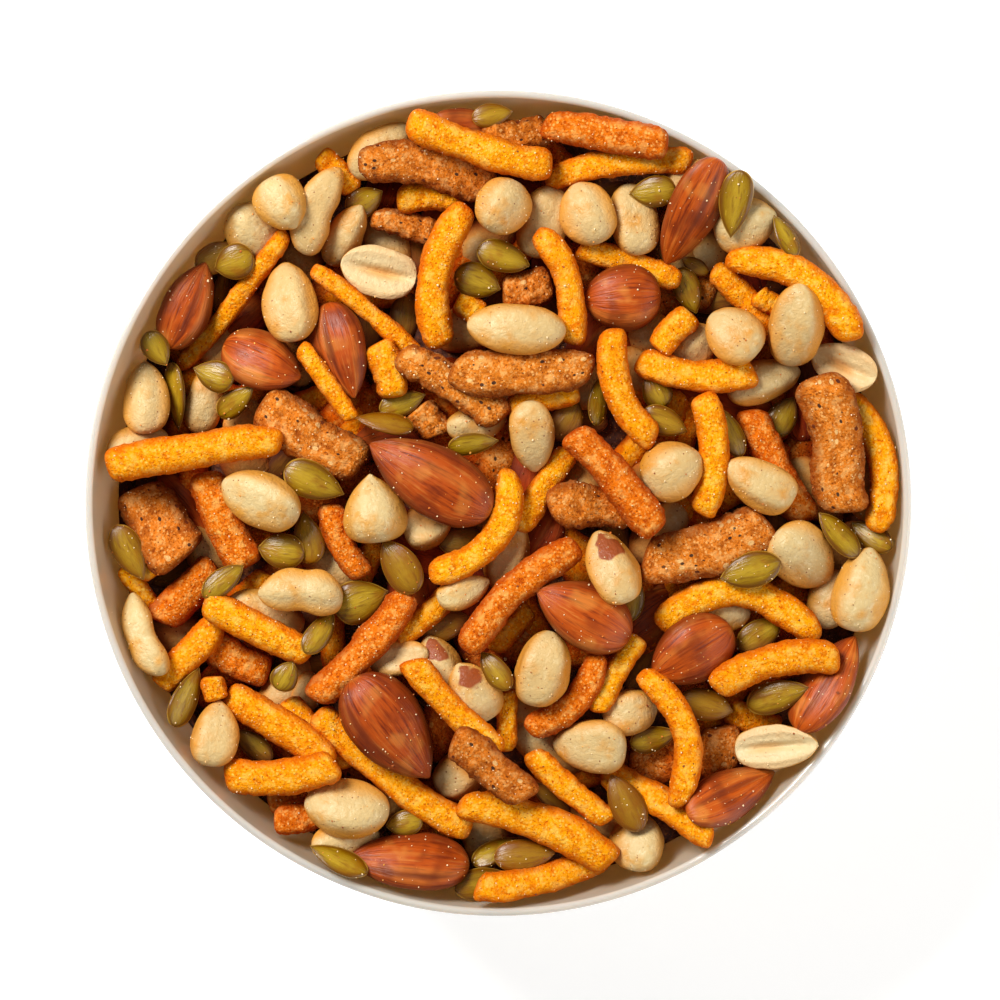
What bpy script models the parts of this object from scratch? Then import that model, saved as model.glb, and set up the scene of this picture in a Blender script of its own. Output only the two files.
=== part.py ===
"""Bowl of trail mix: a round glazed bowl heaped with nuts, seeds and crunchy sticks.

All measures are in metres. +Z is up, the foot of the bowl stands on z = 0 and the
bowl's axis is the Z axis. Two objects are made: "bowl" and "trail_mix".
"""
import math

import bmesh
import bpy
import numpy as np

# Bowl
MM = 0.001
BOWL_RADIUS = 73.0 * MM
BOWL_HEIGHT = 58.0 * MM
LIP = 1.4 * MM
LIP_HEIGHT = BOWL_HEIGHT - LIP / 2
INNER_RADIUS = BOWL_RADIUS - LIP
FLOOR_RADIUS = 30.0 * MM
FLOOR_HEIGHT = 6.5 * MM
FOOT_OUTER = 36.0 * MM
FOOT_INNER = 31.0 * MM
FOOT_RECESS = 2.0 * MM
BODY_START_RADIUS = 33.5 * MM
BODY_START_HEIGHT = 3.0 * MM
SWEEP = math.radians(80.0)
SEGMENTS = 48

# Heap
HEAP_GAP = 0.45 * MM
WALL_GAP = 0.6 * MM
LIP_LEAN = 0.4
CROWN = 3.0 * MM
CROWN_FALL = 11.0 * MM
CROWN_TILT = 3.0 * MM
CORE_DEPTH = 11.0 * MM
CORE_SINK = 5.0 * MM
SMOOTH_PASSES = 250
KEEL = 3.0 * MM
SEED_KEEL = 5.0 * MM
LEVEL = tuple(step * MM for step in (-9.0, -6.5, -4.5, -2.5, -0.5, 1.0))
CELL = 0.6 * MM
FIELD_HALF = 78.0 * MM
SOFT_DEPTH = 1.3 * MM
MOST_OVER = 2.5 * MM
MERGE = 0.01 * MM
FLAT_ANGLE = math.radians(5.0)
LEAST_SHOWN = 26.0 * MM ** 2

# The layout is read off a picture taken from straight above, in its pixels
PICTURE_CENTRE = (498.0, 503.0)
PICTURE_RADIUS = 413.5
EYE_HEIGHT = 750.0 * MM

# Thickness as a share of width, and least width as a share of length
CORN_ROUND = 0.82
CHILLI_ROUND = 0.85
SESAME_ROUND = 0.55
ALMOND_ROUND, ALMOND_BROAD = 0.62, 0.52
PEANUT_ROUND, PEANUT_BROAD = 0.88, 0.5
PEPITA_ROUND, PEPITA_BROAD = 0.36, 0.5
NUT_TIP = 0.22

# Sticks: x and y of both ends, bow, width, level (0 deepest, 5 highest)
CORN = (
    (289, 234, 177, 368, 3, 20, 3), (312, 268, 424, 362, 3, 19, 3), (300, 346, 353, 420, 2, 19, 4),
    (322, 154, 356, 190, 0, 24, 1), (408, 124, 552, 167, -4, 34, 5), (397, 205, 461, 199, 4, 29, 3),
    (468, 206, 442, 347, -20, 34, 4), (533, 233, 571, 345, 18, 29, 4), (456, 300, 482, 318, 0, 26, 1),
    (374, 344, 394, 398, 3, 33, 3), (508, 412, 578, 388, 0, 28, 2), (619, 327, 655, 441, -21, 31, 4),
    (637, 361, 755, 370, -10, 32, 3), (577, 251, 681, 281, 4, 25, 2), (545, 178, 690, 164, 6, 28, 3),
    (726, 261, 853, 340, 27, 34, 4), (713, 268, 778, 342, 3, 26, 2), (754, 296, 783, 312, 0, 22, 2),
    (657, 350, 694, 315, 4, 29, 3), (851, 393, 884, 531, 24, 30, 3), (700, 394, 701, 515, 12, 30, 4),
    (659, 624, 819, 640, 42, 33, 3), (714, 690, 838, 659, 17, 34, 4), (728, 710, 778, 728, 0, 28, 1),
    (638, 673, 674, 806, 30, 28, 4), (601, 772, 711, 836, 3, 30, 3), (640, 637, 598, 713, -3, 24, 3),
    (507, 468, 427, 572, 34, 30, 4), (572, 453, 517, 531, -3, 28, 2), (470, 570, 395, 637, 3, 24, 2),
    (530, 607, 493, 652, 0, 22, 1), (510, 690, 508, 752, 0, 21, 2), (410, 660, 501, 751, -6, 29, 4),
    (316, 712, 471, 831, -5, 32, 3), (478, 899, 611, 863, -12, 29, 3), (459, 801, 611, 864, 9, 38, 4),
    (529, 753, 611, 820, -2, 26, 4), (108, 466, 284, 441, 2, 35, 4), (127, 566, 157, 612, 0, 18, 0),
    (140, 560, 160, 575, 0, 22, 0), (268, 573, 222, 616, 0, 26, 1), (204, 602, 312, 655, -4, 32, 3),
    (216, 618, 162, 686, 3, 32, 2), (213, 676, 219, 700, 0, 25, 4), (226, 692, 332, 766, 3, 37, 3),
    (216, 785, 330, 772, -5, 35, 4), (285, 700, 350, 768, 0, 26, 2),
)
CHILLI = (
    (542, 127, 666, 149, 2, 32, 4), (747, 410, 810, 520, -4, 34, 2), (571, 432, 658, 532, 2, 36, 5),
    (579, 546, 464, 650, -10, 33, 4), (408, 592, 313, 700, 4, 34, 3), (600, 655, 528, 732, 12, 28, 3),
    (200, 474, 250, 566, -5, 40, 3), (331, 503, 364, 577, -8, 28, 2), (213, 562, 159, 622, 0, 38, 2),
    (206, 642, 270, 672, 0, 36, 1), (272, 822, 326, 816, 0, 28, 1), (270, 803, 310, 800, 0, 24, 0),
)
SESAME = (
    (360, 160, 498, 182, 2, 44, 3), (486, 138, 548, 120, 0, 34, 1), (370, 222, 440, 236, 3, 28, 2),
    (450, 368, 594, 364, -4, 44, 4), (396, 358, 504, 418, 2, 36, 3), (502, 290, 552, 284, 0, 36, 1),
    (823, 374, 852, 512, -6, 54, 4), (642, 562, 767, 519, -8, 50, 3), (548, 510, 632, 512, 4, 44, 2),
    (628, 770, 740, 742, 0, 48, 1), (452, 737, 530, 796, 0, 38, 4), (262, 401, 362, 468, -3, 52, 3),
    (131, 490, 183, 561, 0, 58, 3), (416, 408, 440, 436, 0, 36, 1), (338, 762, 372, 780, 0, 30, 0),
)
# Nuts and seeds: x, y, heading of the tip in degrees, length, width, level
ALMOND = (
    (184, 304, 66, 92, 50, 3), (262, 361, -24, 84, 58, 3), (341, 350, -74, 98, 54, 3),
    (622, 297, 185, 78, 68, 3), (692, 212, 243, 112, 52, 5), (692, 651, 212, 92, 66, 3),
    (828, 685, 58, 108, 50, 2), (737, 802, 24, 96, 50, 3), (584, 615, 152, 104, 66, 4),
    (431, 479, 150, 138, 72, 5), (390, 728, -52, 124, 78, 5), (409, 862, 176, 120, 56, 3),
    (470, 130, 0, 80, 44, 0), (541, 536, 60, 70, 44, 0), (800, 412, 100, 60, 40, 0),
)
PEANUT = (
    (280, 201, 300, 56, 50, 4), (322, 213, 68, 92, 46, 3), (248, 226, 130, 64, 54, 2),
    (345, 236, 60, 66, 36, 2), (289, 303, 96, 80, 56, 4), (379, 271, 166, 76, 50, 3),
    (377, 140, 40, 74, 44, 2), (503, 208, 60, 56, 54, 4), (543, 222, 70, 74, 50, 2),
    (588, 214, 112, 64, 54, 4), (634, 220, 100, 72, 50, 3), (517, 328, 176, 98, 52, 5),
    (745, 226, 20, 62, 54, 2), (690, 180, 30, 54, 40, 1), (801, 322, 85, 80, 54, 5),
    (734, 335, 140, 60, 56, 4), (692, 346, 30, 54, 46, 1), (763, 382, 18, 76, 42, 2),
    (847, 364, 155, 68, 44, 3), (866, 482, 92, 78, 42, 1), (760, 482, 152, 76, 50, 4),
    (672, 471, 30, 62, 58, 4), (802, 557, -40, 74, 60, 3), (870, 592, 75, 84, 54, 4),
    (832, 600, 70, 60, 44, 2), (721, 613, 0, 56, 34, 1), (781, 752, 6, 80, 42, 4),
    (642, 852, 80, 56, 54, 3), (629, 712, 10, 54, 48, 2), (613, 567, 115, 76, 50, 4),
    (373, 509, 95, 68, 64, 4), (428, 527, 20, 50, 44, 2), (532, 436, -85, 70, 48, 2),
    (476, 423, 10, 60, 34, 1), (463, 590, 20, 54, 32, 2), (507, 556, 80, 72, 44, 1),
    (541, 669, 75, 76, 54, 4), (474, 692, 120, 64, 50, 3), (438, 666, 110, 62, 46, 2),
    (398, 657, 10, 60, 34, 2), (590, 747, 175, 72, 58, 3), (597, 822, -30, 60, 40, 1),
    (460, 772, 40, 58, 46, 1), (348, 806, 174, 84, 56, 4), (344, 843, 10, 66, 34, 2),
    (141, 397, 92, 72, 46, 4), (130, 446, 20, 60, 44, 2), (203, 402, 80, 64, 38, 1),
    (244, 420, 60, 44, 40, 0), (261, 500, 155, 84, 56, 5), (301, 596, 176, 84, 48, 4),
    (266, 614, 160, 80, 44, 1), (138, 638, 112, 86, 36, 2), (209, 738, 82, 64, 48, 4),
    (306, 692, 80, 40, 34, 0),
)
PEPITA = (
    (155, 348, -58, 38, 28, 4), (236, 263, 200, 40, 36, 3), (207, 250, 30, 44, 30, 2),
    (222, 290, 80, 48, 16, 1), (365, 203, 30, 40, 30, 1), (503, 257, -18, 54, 32, 3),
    (477, 281, -20, 48, 36, 2), (385, 423, 170, 58, 22, 4), (402, 403, 20, 48, 26, 2),
    (473, 444, 8, 50, 22, 4), (566, 420, 60, 46, 34, 1), (598, 402, 86, 48, 20, 2),
    (737, 202, -98, 66, 34, 5), (656, 185, 186, 46, 32, 4), (787, 235, 118, 46, 20, 4),
    (688, 290, -70, 48, 28, 1), (695, 266, 150, 30, 16, 1), (767, 288, 20, 40, 24, 0),
    (656, 390, 115, 38, 30, 2), (664, 422, -22, 48, 30, 3), (731, 433, 112, 52, 24, 3),
    (782, 417, 60, 44, 30, 1), (751, 570, 196, 62, 36, 5), (839, 535, 132, 58, 26, 5),
    (873, 536, 145, 46, 26, 2), (632, 600, 80, 44, 26, 1), (759, 636, 32, 50, 32, 2),
    (776, 696, 18, 62, 32, 3), (706, 705, -14, 54, 32, 2), (626, 803, 118, 62, 36, 5),
    (463, 540, 10, 50, 30, 1), (400, 567, 122, 60, 38, 4), (361, 601, 20, 56, 44, 2),
    (444, 624, 15, 52, 34, 1), (496, 671, 128, 46, 26, 4), (405, 822, 190, 36, 26, 3),
    (336, 867, 155, 62, 24, 3), (495, 851, 28, 52, 22, 3), (525, 867, 4, 60, 32, 3),
    (481, 882, 15, 54, 30, 2), (551, 799, 140, 50, 20, 1), (653, 738, 15, 48, 26, 2),
    (175, 396, -84, 68, 22, 3), (215, 376, 160, 42, 32, 3), (236, 402, 38, 44, 26, 3),
    (314, 481, -24, 64, 38, 4), (118, 554, -62, 60, 32, 3), (282, 551, 172, 46, 36, 3),
    (308, 538, 100, 52, 32, 2), (224, 581, 38, 50, 26, 3), (319, 633, 55, 48, 26, 3),
    (186, 698, 68, 62, 26, 3), (253, 746, 140, 48, 24, 2), (285, 676, 60, 32, 28, 4),
    (492, 121, 10, 40, 24, 1),
)


def clear_scene():
    """Remove every object of the start-up scene."""
    for item in list(bpy.data.objects):
        bpy.data.objects.remove(item, do_unlink=True)


def make_material(name, colour, roughness, metallic):
    """Principled material of one colour."""
    material = bpy.data.materials.new(name)
    material.use_nodes = True
    shader = material.node_tree.nodes["Principled BSDF"]
    shader.inputs["Base Color"].default_value = (*colour, 1.0)
    shader.inputs["Roughness"].default_value = roughness
    shader.inputs["Metallic"].default_value = metallic
    material.diffuse_color = (*colour, 1.0)
    return material


def make_object(name, bm, collection=None):
    """Object from a bmesh, with its faces turned outward."""
    bmesh.ops.recalc_face_normals(bm, faces=bm.faces)
    mesh = bpy.data.meshes.new(name)
    bm.to_mesh(mesh)
    bm.free()
    item = bpy.data.objects.new(name, mesh)
    (collection or bpy.context.scene.collection).objects.link(item)
    return item


# Bowl


def sweep_height(radius):
    """Height of the inside wall at a radius."""
    share = np.clip((radius - FLOOR_RADIUS) / (INNER_RADIUS - FLOOR_RADIUS), 0.0, 1.0)
    rise = 1.0 - np.sqrt(1.0 - (share * math.sin(SWEEP)) ** 2)
    return FLOOR_HEIGHT + (LIP_HEIGHT - FLOOR_HEIGHT) * rise / (1.0 - math.cos(SWEEP))


def sweep_radius(height):
    """Radius of the inside wall at a height."""
    share = np.clip((height - FLOOR_HEIGHT) / (LIP_HEIGHT - FLOOR_HEIGHT), 0.0, 1.0)
    cosine = 1.0 - share * (1.0 - math.cos(SWEEP))
    return FLOOR_RADIUS + (INNER_RADIUS - FLOOR_RADIUS) * np.sqrt(1.0 - cosine ** 2) / math.sin(SWEEP)


def bowl_profile():
    """Half section of the bowl as (radius, height), from under the middle round to the inside."""
    points = [(0.0, FOOT_RECESS), (FOOT_INNER - FOOT_RECESS / 2, FOOT_RECESS), (FOOT_INNER, 0.0)]
    points += [(FOOT_OUTER, 0.0), (FOOT_OUTER + 0.5 * MM, BODY_START_HEIGHT * 0.9)]
    for angle in (14.0, 28.0, 42.0, 55.0, 68.0, 80.0):
        turn = math.radians(angle)
        radius = BODY_START_RADIUS + (BOWL_RADIUS - BODY_START_RADIUS) * math.sin(turn) / math.sin(SWEEP)
        rise = (1.0 - math.cos(turn)) / (1.0 - math.cos(SWEEP))
        points.append((radius, BODY_START_HEIGHT + (LIP_HEIGHT - BODY_START_HEIGHT) * rise))
    for angle in (45.0, 90.0, 135.0):
        turn = math.radians(angle)
        radius = BOWL_RADIUS - LIP / 2 + LIP / 2 * math.cos(turn)
        points.append((radius, LIP_HEIGHT + LIP / 2 * math.sin(turn)))
    for share in (1.0, 0.76, 0.54, 0.34, 0.18, 0.07):
        height = FLOOR_HEIGHT + (LIP_HEIGHT - FLOOR_HEIGHT) * share
        points.append((float(sweep_radius(height)), height))
    points += [(FLOOR_RADIUS, FLOOR_HEIGHT), (0.0, FLOOR_HEIGHT)]
    return points


def make_bowl():
    """The bowl: its half section turned about the Z axis."""
    bm = bmesh.new()
    verts = [bm.verts.new((radius, 0.0, height)) for radius, height in bowl_profile()]
    edges = [bm.edges.new(pair) for pair in zip(verts, verts[1:])]
    bmesh.ops.spin(bm, geom=verts + edges, axis=(0, 0, 1), cent=(0, 0, 0), angle=math.tau,
                   steps=SEGMENTS, use_merge=True)
    bmesh.ops.remove_doubles(bm, verts=bm.verts, dist=0.01 * MM)
    bowl = make_object("bowl", bm)
    for face in bowl.data.polygons:
        face.use_smooth = True
    bowl.data.materials.append(make_material("bowl", (0.9, 0.89, 0.87), 0.18, 0.0))
    return bowl


# Layout of the heap


def crown(x, y):
    """Height of the heap's mean surface."""
    share = np.hypot(x, y) / INNER_RADIUS
    return BOWL_HEIGHT + CROWN - CROWN_FALL * share ** 2 + CROWN_TILT * x / INNER_RADIUS


def picture_point(px, py, level):
    """Place and scale of a picture point for a piece of that level."""
    scale = BOWL_RADIUS / PICTURE_RADIUS
    x, y = (px - PICTURE_CENTRE[0]) * scale, (PICTURE_CENTRE[1] - py) * scale
    depth = BOWL_HEIGHT - crown(x, y) - LEVEL[level]
    grow = (EYE_HEIGHT + depth) / EYE_HEIGHT
    return x * grow, y * grow, scale * grow


class Piece:
    """One nut, seed or stick: its plan shape and, once settled, its height and slopes."""

    def __init__(self, kind, x, y, heading, length, width, thick, bow, tip, roll, level):
        self.kind, self.level = kind, level
        self.x, self.y, self.heading = x, y, heading
        self.length, self.width, self.thick = length, width, thick
        self.bow, self.tip, self.roll = bow, tip, roll
        self.z = self.pitch = self.slope = 0.0

    def turn(self, u, v):
        """Plan position of a point given along and across the piece."""
        c, s = math.cos(self.heading), math.sin(self.heading)
        return self.x + u * c - v * s, self.y + u * s + v * c

    def form(self, t, w):
        """Across position and half thickness at t along and w across, both -1 to 1."""
        if self.tip:
            ring = np.sqrt(np.maximum(1.0 - t * t, 0.0)) * (1.0 - self.tip * t)
            return w * ring * self.width / 2, ring * np.sqrt(np.maximum(1.0 - w * w, 0.0)) * self.thick / 2
        half = self.width / 2 * (1.0 - 0.18 * np.abs(t) ** 6)
        rise = (1.0 - np.abs(w) ** 2.6) ** (1 / 2.6) * (1.0 - 0.3 * np.abs(t) ** 8)
        return self.bow * (1.0 - t * t) + w * half, rise * self.thick / 2

    def samples(self):
        """Points over the piece: along, across, half thickness."""
        t, w = np.meshgrid(np.linspace(-0.98, 0.98, 13), (-0.98, -0.8, -0.4, 0.0, 0.4, 0.8, 0.98))
        across, rise = self.form(t.ravel(), w.ravel())
        return t.ravel() * self.length / 2, across, rise


def stick(kind, row, ratio):
    """A stick from its layout row."""
    x0, y0, x1, y1, bow, width, level = row
    x, y, scale = picture_point((x0 + x1) / 2, (y0 + y1) / 2, level)
    length = math.hypot(x1 - x0, y1 - y0) * scale
    heading = math.atan2(y0 - y1, x1 - x0)
    width = width * scale
    return Piece(kind, x, y, heading, length, width, width * ratio, bow * scale, 0.0, 0.0, level)


def nut(kind, row, ratio, broad):
    """A nut or seed from its layout row; one seen narrow lies tilted on its long axis."""
    px, py, heading, length, width, level = row
    x, y, scale = picture_point(px, py, level)
    length, width = length * scale, width * scale
    full = max(width, broad * length)
    thin = ratio * full
    share = min(max((width ** 2 - thin ** 2) / (full ** 2 - thin ** 2), 0.0), 1.0)
    roll = (full ** 2 - thin ** 2) * math.sqrt(share * (1.0 - share)) / width ** 2
    thick, heading = full * thin / width, math.radians(heading)
    return Piece(kind, x, y, heading, length, width, thick, 0.0, NUT_TIP, roll, level)


def all_pieces():
    """Every piece of the layout, deepest first."""
    pieces = [stick("corn", row, CORN_ROUND) for row in CORN]
    pieces += [stick("chilli", row, CHILLI_ROUND) for row in CHILLI]
    pieces += [stick("sesame", row, SESAME_ROUND) for row in SESAME]
    pieces += [nut("almond", row, ALMOND_ROUND, ALMOND_BROAD) for row in ALMOND]
    pieces += [nut("peanut", row, PEANUT_ROUND, PEANUT_BROAD) for row in PEANUT]
    pieces += [nut("pepita", row, PEPITA_ROUND, PEPITA_BROAD) for row in PEPITA]
    return sorted(pieces, key=lambda piece: piece.level)


def lay(piece, x, y, low, along, across, pile, wall):
    """Lowest rest of a piece at a place: (cost, height, pitch, slope)."""
    count = len(pile)
    i = np.clip(np.round((x + FIELD_HALF) / CELL).astype(int), 0, count - 1)
    j = np.clip(np.round((y + FIELD_HALF) / CELL).astype(int), 0, count - 1)
    least = crown(piece.x, piece.y) + LEVEL[piece.level]
    pitches = np.linspace(-0.42, 0.42, 15)[:, None]
    best = None
    for side in ((1.0, -1.0) if piece.roll > 0.05 else (1.0,)):
        for tilt in np.linspace(-0.24, 0.24, 7):
            slope = side * piece.roll + tilt
            under = low + pitches * along + slope * across
            touch = np.sort(pile[i, j] - under, axis=1)
            soft = np.maximum(touch[:, int(touch.shape[1] * 0.86)], touch[:, -1] - SOFT_DEPTH)
            height = np.maximum(np.maximum(soft, least), (wall[i, j] - under).max(axis=1))
            cost = height + 7.0 * MM * (pitches[:, 0] ** 2 + tilt ** 2)
            pick = int(np.argmin(cost))
            if best is None or cost[pick] < best[0]:
                best = (cost[pick], height[pick], pitches[pick, 0], slope)
    return best


def settle(pieces):
    """Let the pieces down one by one on a height field; a piece that the wall holds up moves inward."""
    axis = np.arange(-FIELD_HALF, FIELD_HALF + CELL / 2, CELL)
    gx, gy = np.meshgrid(axis, axis, indexing="ij")
    radius = np.hypot(gx, gy)
    inside = radius < INNER_RADIUS - WALL_GAP
    over_lip = BOWL_HEIGHT + WALL_GAP + (radius - INNER_RADIUS + WALL_GAP) / LIP_LEAN
    wall = np.where(inside, sweep_height(radius + WALL_GAP), over_lip)
    pile = np.where(inside, np.maximum(crown(gx, gy) - CORE_DEPTH, sweep_height(radius)), 0.0)
    owner = np.full(gx.shape, -1)
    for number, piece in enumerate(pieces):
        along, across, rise = piece.samples()
        x, y = piece.turn(along, across)
        reach = math.hypot(piece.x, piece.y)
        best = None
        for step in np.arange(0.0, 5.1, 0.5) * MM:
            dx, dy = -piece.x / reach * step, -piece.y / reach * step
            found = lay(piece, x + dx, y + dy, -rise, along, across, pile, wall)
            cost = max(found[1] - crown(piece.x, piece.y) - MOST_OVER, 0.0) + 1.1 * step
            if best is None or cost < best[0]:
                best = (cost, found, dx, dy)
        _, (_, piece.z, piece.pitch, piece.slope), dx, dy = best
        piece.x, piece.y = piece.x + dx, piece.y + dy
        spread(piece, gx, gy, pile, owner, number)
    return axis, pile, owner


def spread(piece, gx, gy, pile, owner, number):
    """Add a settled piece to the height field."""
    c, s = math.cos(piece.heading), math.sin(piece.heading)
    u = (gx - piece.x) * c + (gy - piece.y) * s
    v = (gy - piece.y) * c - (gx - piece.x) * s
    t = 2.0 * u / piece.length
    near = (np.abs(t) < 1.0) & (np.abs(v) < piece.width / 2 + abs(piece.bow))
    t = np.clip(t, -0.999, 0.999)
    middle, _ = piece.form(t, np.zeros_like(t))
    edge, _ = piece.form(t, np.ones_like(t))
    w = (v - middle) / (edge - middle)
    _, rise = piece.form(t, np.clip(w, -1.0, 1.0))
    top = piece.z + piece.pitch * u + piece.slope * v + rise
    higher = near & (np.abs(w) < 1.0) & (top > pile)
    pile[higher] = top[higher]
    owner[higher] = number


# Solids of the heap


def loft(name, rings, collection):
    """Closed solid through rings of points, capped at both ends."""
    bm = bmesh.new()
    loops = [[bm.verts.new(point) for point in ring] for ring in rings]
    for low, high in zip(loops, loops[1:]):
        if len(low) == 1 or len(high) == 1:
            pole, ring = (low, high) if len(low) == 1 else (high, low)
            for k, vert in enumerate(ring):
                bm.faces.new((pole[0], vert, ring[(k + 1) % len(ring)]))
            continue
        for k in range(len(low)):
            after = (k + 1) % len(low)
            bm.faces.new((low[k], low[after], high[after], high[k]))
    for ring in (loops[0], loops[-1]):
        if len(ring) > 2:
            bm.faces.new(ring)
    bmesh.ops.triangulate(bm, faces=bm.faces)
    return make_object(name, bm, collection)


def keep_inside(x, y, z):
    """Move a point in from the bowl's wall where it would come too close."""
    radius = math.hypot(x, y)
    most = float(sweep_radius(z)) - WALL_GAP + max(0.0, z - BOWL_HEIGHT - WALL_GAP) * LIP_LEAN
    if radius > most:
        return x * most / radius, y * most / radius, z
    return x, y, z


def section(piece, t, angles):
    """Ring of points round a piece at t along it, with a keel that reaches into the pieces below."""
    keel = SEED_KEEL if piece.kind == "pepita" else KEEL
    keel += 0.7 * max(piece.z - crown(piece.x, piece.y), 0.0)
    ring = []
    for angle in angles:
        w = math.cos(math.radians(angle))
        if not piece.tip:
            w = math.copysign(abs(w) ** (2 / 2.6), w)
        across, rise = piece.form(np.float64(t), np.float64(w))
        rise = float(rise) if angle <= 180.0 else -float(rise) * (1.0 + 2.0 * keel / piece.thick)
        u, v = t * piece.length / 2, float(across)
        x, y = piece.turn(u, v)
        ring.append(keep_inside(x, y, piece.z + piece.pitch * u + piece.slope * v + rise))
    return ring


def piece_solid(piece, number, collection):
    """Few-sided solid of a piece."""
    fine = piece.kind in ("sesame", "almond", "peanut") and piece.level > 3
    angles = (0.0, 45.0, 90.0, 135.0, 180.0, 270.0) if fine else (0.0, 60.0, 120.0, 180.0, 270.0)
    if piece.tip:
        spots = (-0.68, 0.0, 0.66) if piece.kind == "pepita" else (-0.84, -0.3, 0.35, 0.84)
        ends = [section(piece, t, (0.0,)) for t in (-1.0, 1.0)]
        rings = [ends[0]] + [section(piece, t, angles) for t in spots] + [ends[1]]
    else:
        bend = abs(piece.bow) / piece.length
        spots = (-1.0, -0.86, 0.86, 1.0)
        if bend > 0.05:
            spots = (-1.0, -0.84, -0.3, 0.3, 0.84, 1.0)
        elif bend > 0.02:
            spots = (-1.0, -0.86, 0.0, 0.86, 1.0)
        rings = [section(piece, t, angles) for t in spots]
        for ring in (rings[0], rings[-1]):
            middle = [sum(axis) / len(ring) for axis in zip(*ring)]
            for k, point in enumerate(ring):
                ring[k] = tuple(m + (p - m) * 0.72 for m, p in zip(middle, point))
    return loft("piece_%03d" % number, rings, collection)


def core_solid(axis, pile, collection):
    """The packed inside of the heap, a little under the pieces' tops and just off the bowl."""
    smooth = pile.copy()
    for _ in range(SMOOTH_PASSES):
        smooth[1:-1, 1:-1] = (smooth[1:-1, 1:-1] * 4 + smooth[2:, 1:-1] + smooth[:-2, 1:-1]
                              + smooth[1:-1, 2:] + smooth[1:-1, :-2]) / 8

    def top(x, y):
        i, j = (int(round((value + FIELD_HALF) / CELL)) for value in (x, y))
        return float(smooth[i, j]) - CORE_SINK

    rings = [[(0.0, 0.0, FLOOR_HEIGHT + HEAP_GAP)]]
    turns = [math.tau * k / SEGMENTS for k in range(SEGMENTS)]
    rings.append([(math.cos(a) * (FLOOR_RADIUS - HEAP_GAP), math.sin(a) * (FLOOR_RADIUS - HEAP_GAP),
                   FLOOR_HEIGHT + HEAP_GAP) for a in turns])
    edge = [top(math.cos(a) * 63.0 * MM, math.sin(a) * 63.0 * MM) for a in turns]
    edge = [(edge[k - 1] + edge[k] + edge[(k + 1) % SEGMENTS]) / 3 for k in range(SEGMENTS)]
    for share in (0.07, 0.34, 1.0):
        ring = []
        for a, high in zip(turns, edge):
            z = high if share == 1.0 else FLOOR_HEIGHT + (LIP_HEIGHT - FLOOR_HEIGHT) * share
            radius = float(sweep_radius(z)) - HEAP_GAP
            ring.append((radius * math.cos(a), radius * math.sin(a), z + HEAP_GAP))
        rings.append(ring)
    for share in (0.8, 0.56, 0.3):
        ring = []
        for x, y, z in rings[4]:
            ring.append((x * share, y * share, top(x * share, y * share)))
        rings.append(ring)
    rings.append([(0.0, 0.0, top(0.0, 0.0))])
    return loft("core", rings, collection)


def largest_shell(item):
    """Keep the largest connected shell, without loose scraps and sealed hollows, and join its flat faces."""
    bm = bmesh.new()
    bm.from_mesh(item.data)
    bm.verts.ensure_lookup_table()
    seen, shells = set(), []
    for vert in bm.verts:
        if vert in seen:
            continue
        shell, stack = [], [vert]
        seen.add(vert)
        while stack:
            here = stack.pop()
            shell.append(here)
            for edge in here.link_edges:
                other = edge.other_vert(here)
                if other not in seen:
                    seen.add(other)
                    stack.append(other)
        shells.append(shell)
    shells.sort(key=len)
    for shell in shells[:-1]:
        bmesh.ops.delete(bm, geom=shell, context="VERTS")
    bmesh.ops.dissolve_degenerate(bm, dist=MERGE, edges=bm.edges)
    bmesh.ops.dissolve_limit(bm, angle_limit=FLAT_ANGLE, verts=bm.verts, edges=bm.edges)
    bmesh.ops.triangulate(bm, faces=bm.faces)
    bm.to_mesh(item.data)
    bm.free()


def make_heap():
    """The heap: the core and every piece that shows, fused into one solid."""
    pieces = all_pieces()
    axis, pile, owner = settle(pieces)
    parts = bpy.data.collections.new("heap_parts")
    bpy.context.scene.collection.children.link(parts)
    seen = np.bincount(owner[owner >= 0], minlength=len(pieces)) * CELL ** 2
    for number, piece in enumerate(pieces):
        if seen[number] > LEAST_SHOWN:
            piece_solid(piece, number, parts)
    heap = core_solid(axis, pile, bpy.context.scene.collection)
    heap.name = "trail_mix"
    union = heap.modifiers.new("fuse", "BOOLEAN")
    union.operation = "UNION"
    union.operand_type = "COLLECTION"
    union.collection = parts
    union.solver = "EXACT"
    bpy.context.view_layer.objects.active = heap
    heap.select_set(True)
    bpy.ops.object.modifier_apply(modifier=union.name)
    for item in list(parts.objects):
        bpy.data.objects.remove(item, do_unlink=True)
    bpy.data.collections.remove(parts)
    largest_shell(heap)
    heap.data.name = "trail_mix"
    heap.data.materials.clear()
    heap.data.materials.append(make_material("trail_mix", (0.62, 0.33, 0.13), 0.65, 0.0))
    return heap


clear_scene()
make_bowl()
make_heap()
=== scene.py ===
"""Bowl of trail mix: the finish of a glazed bowl heaped with nuts, seeds and crunchy sticks.

Laid out as a Blender add-on and run as a script. Measures are in metres, +Z is up.
"""

import math

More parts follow.
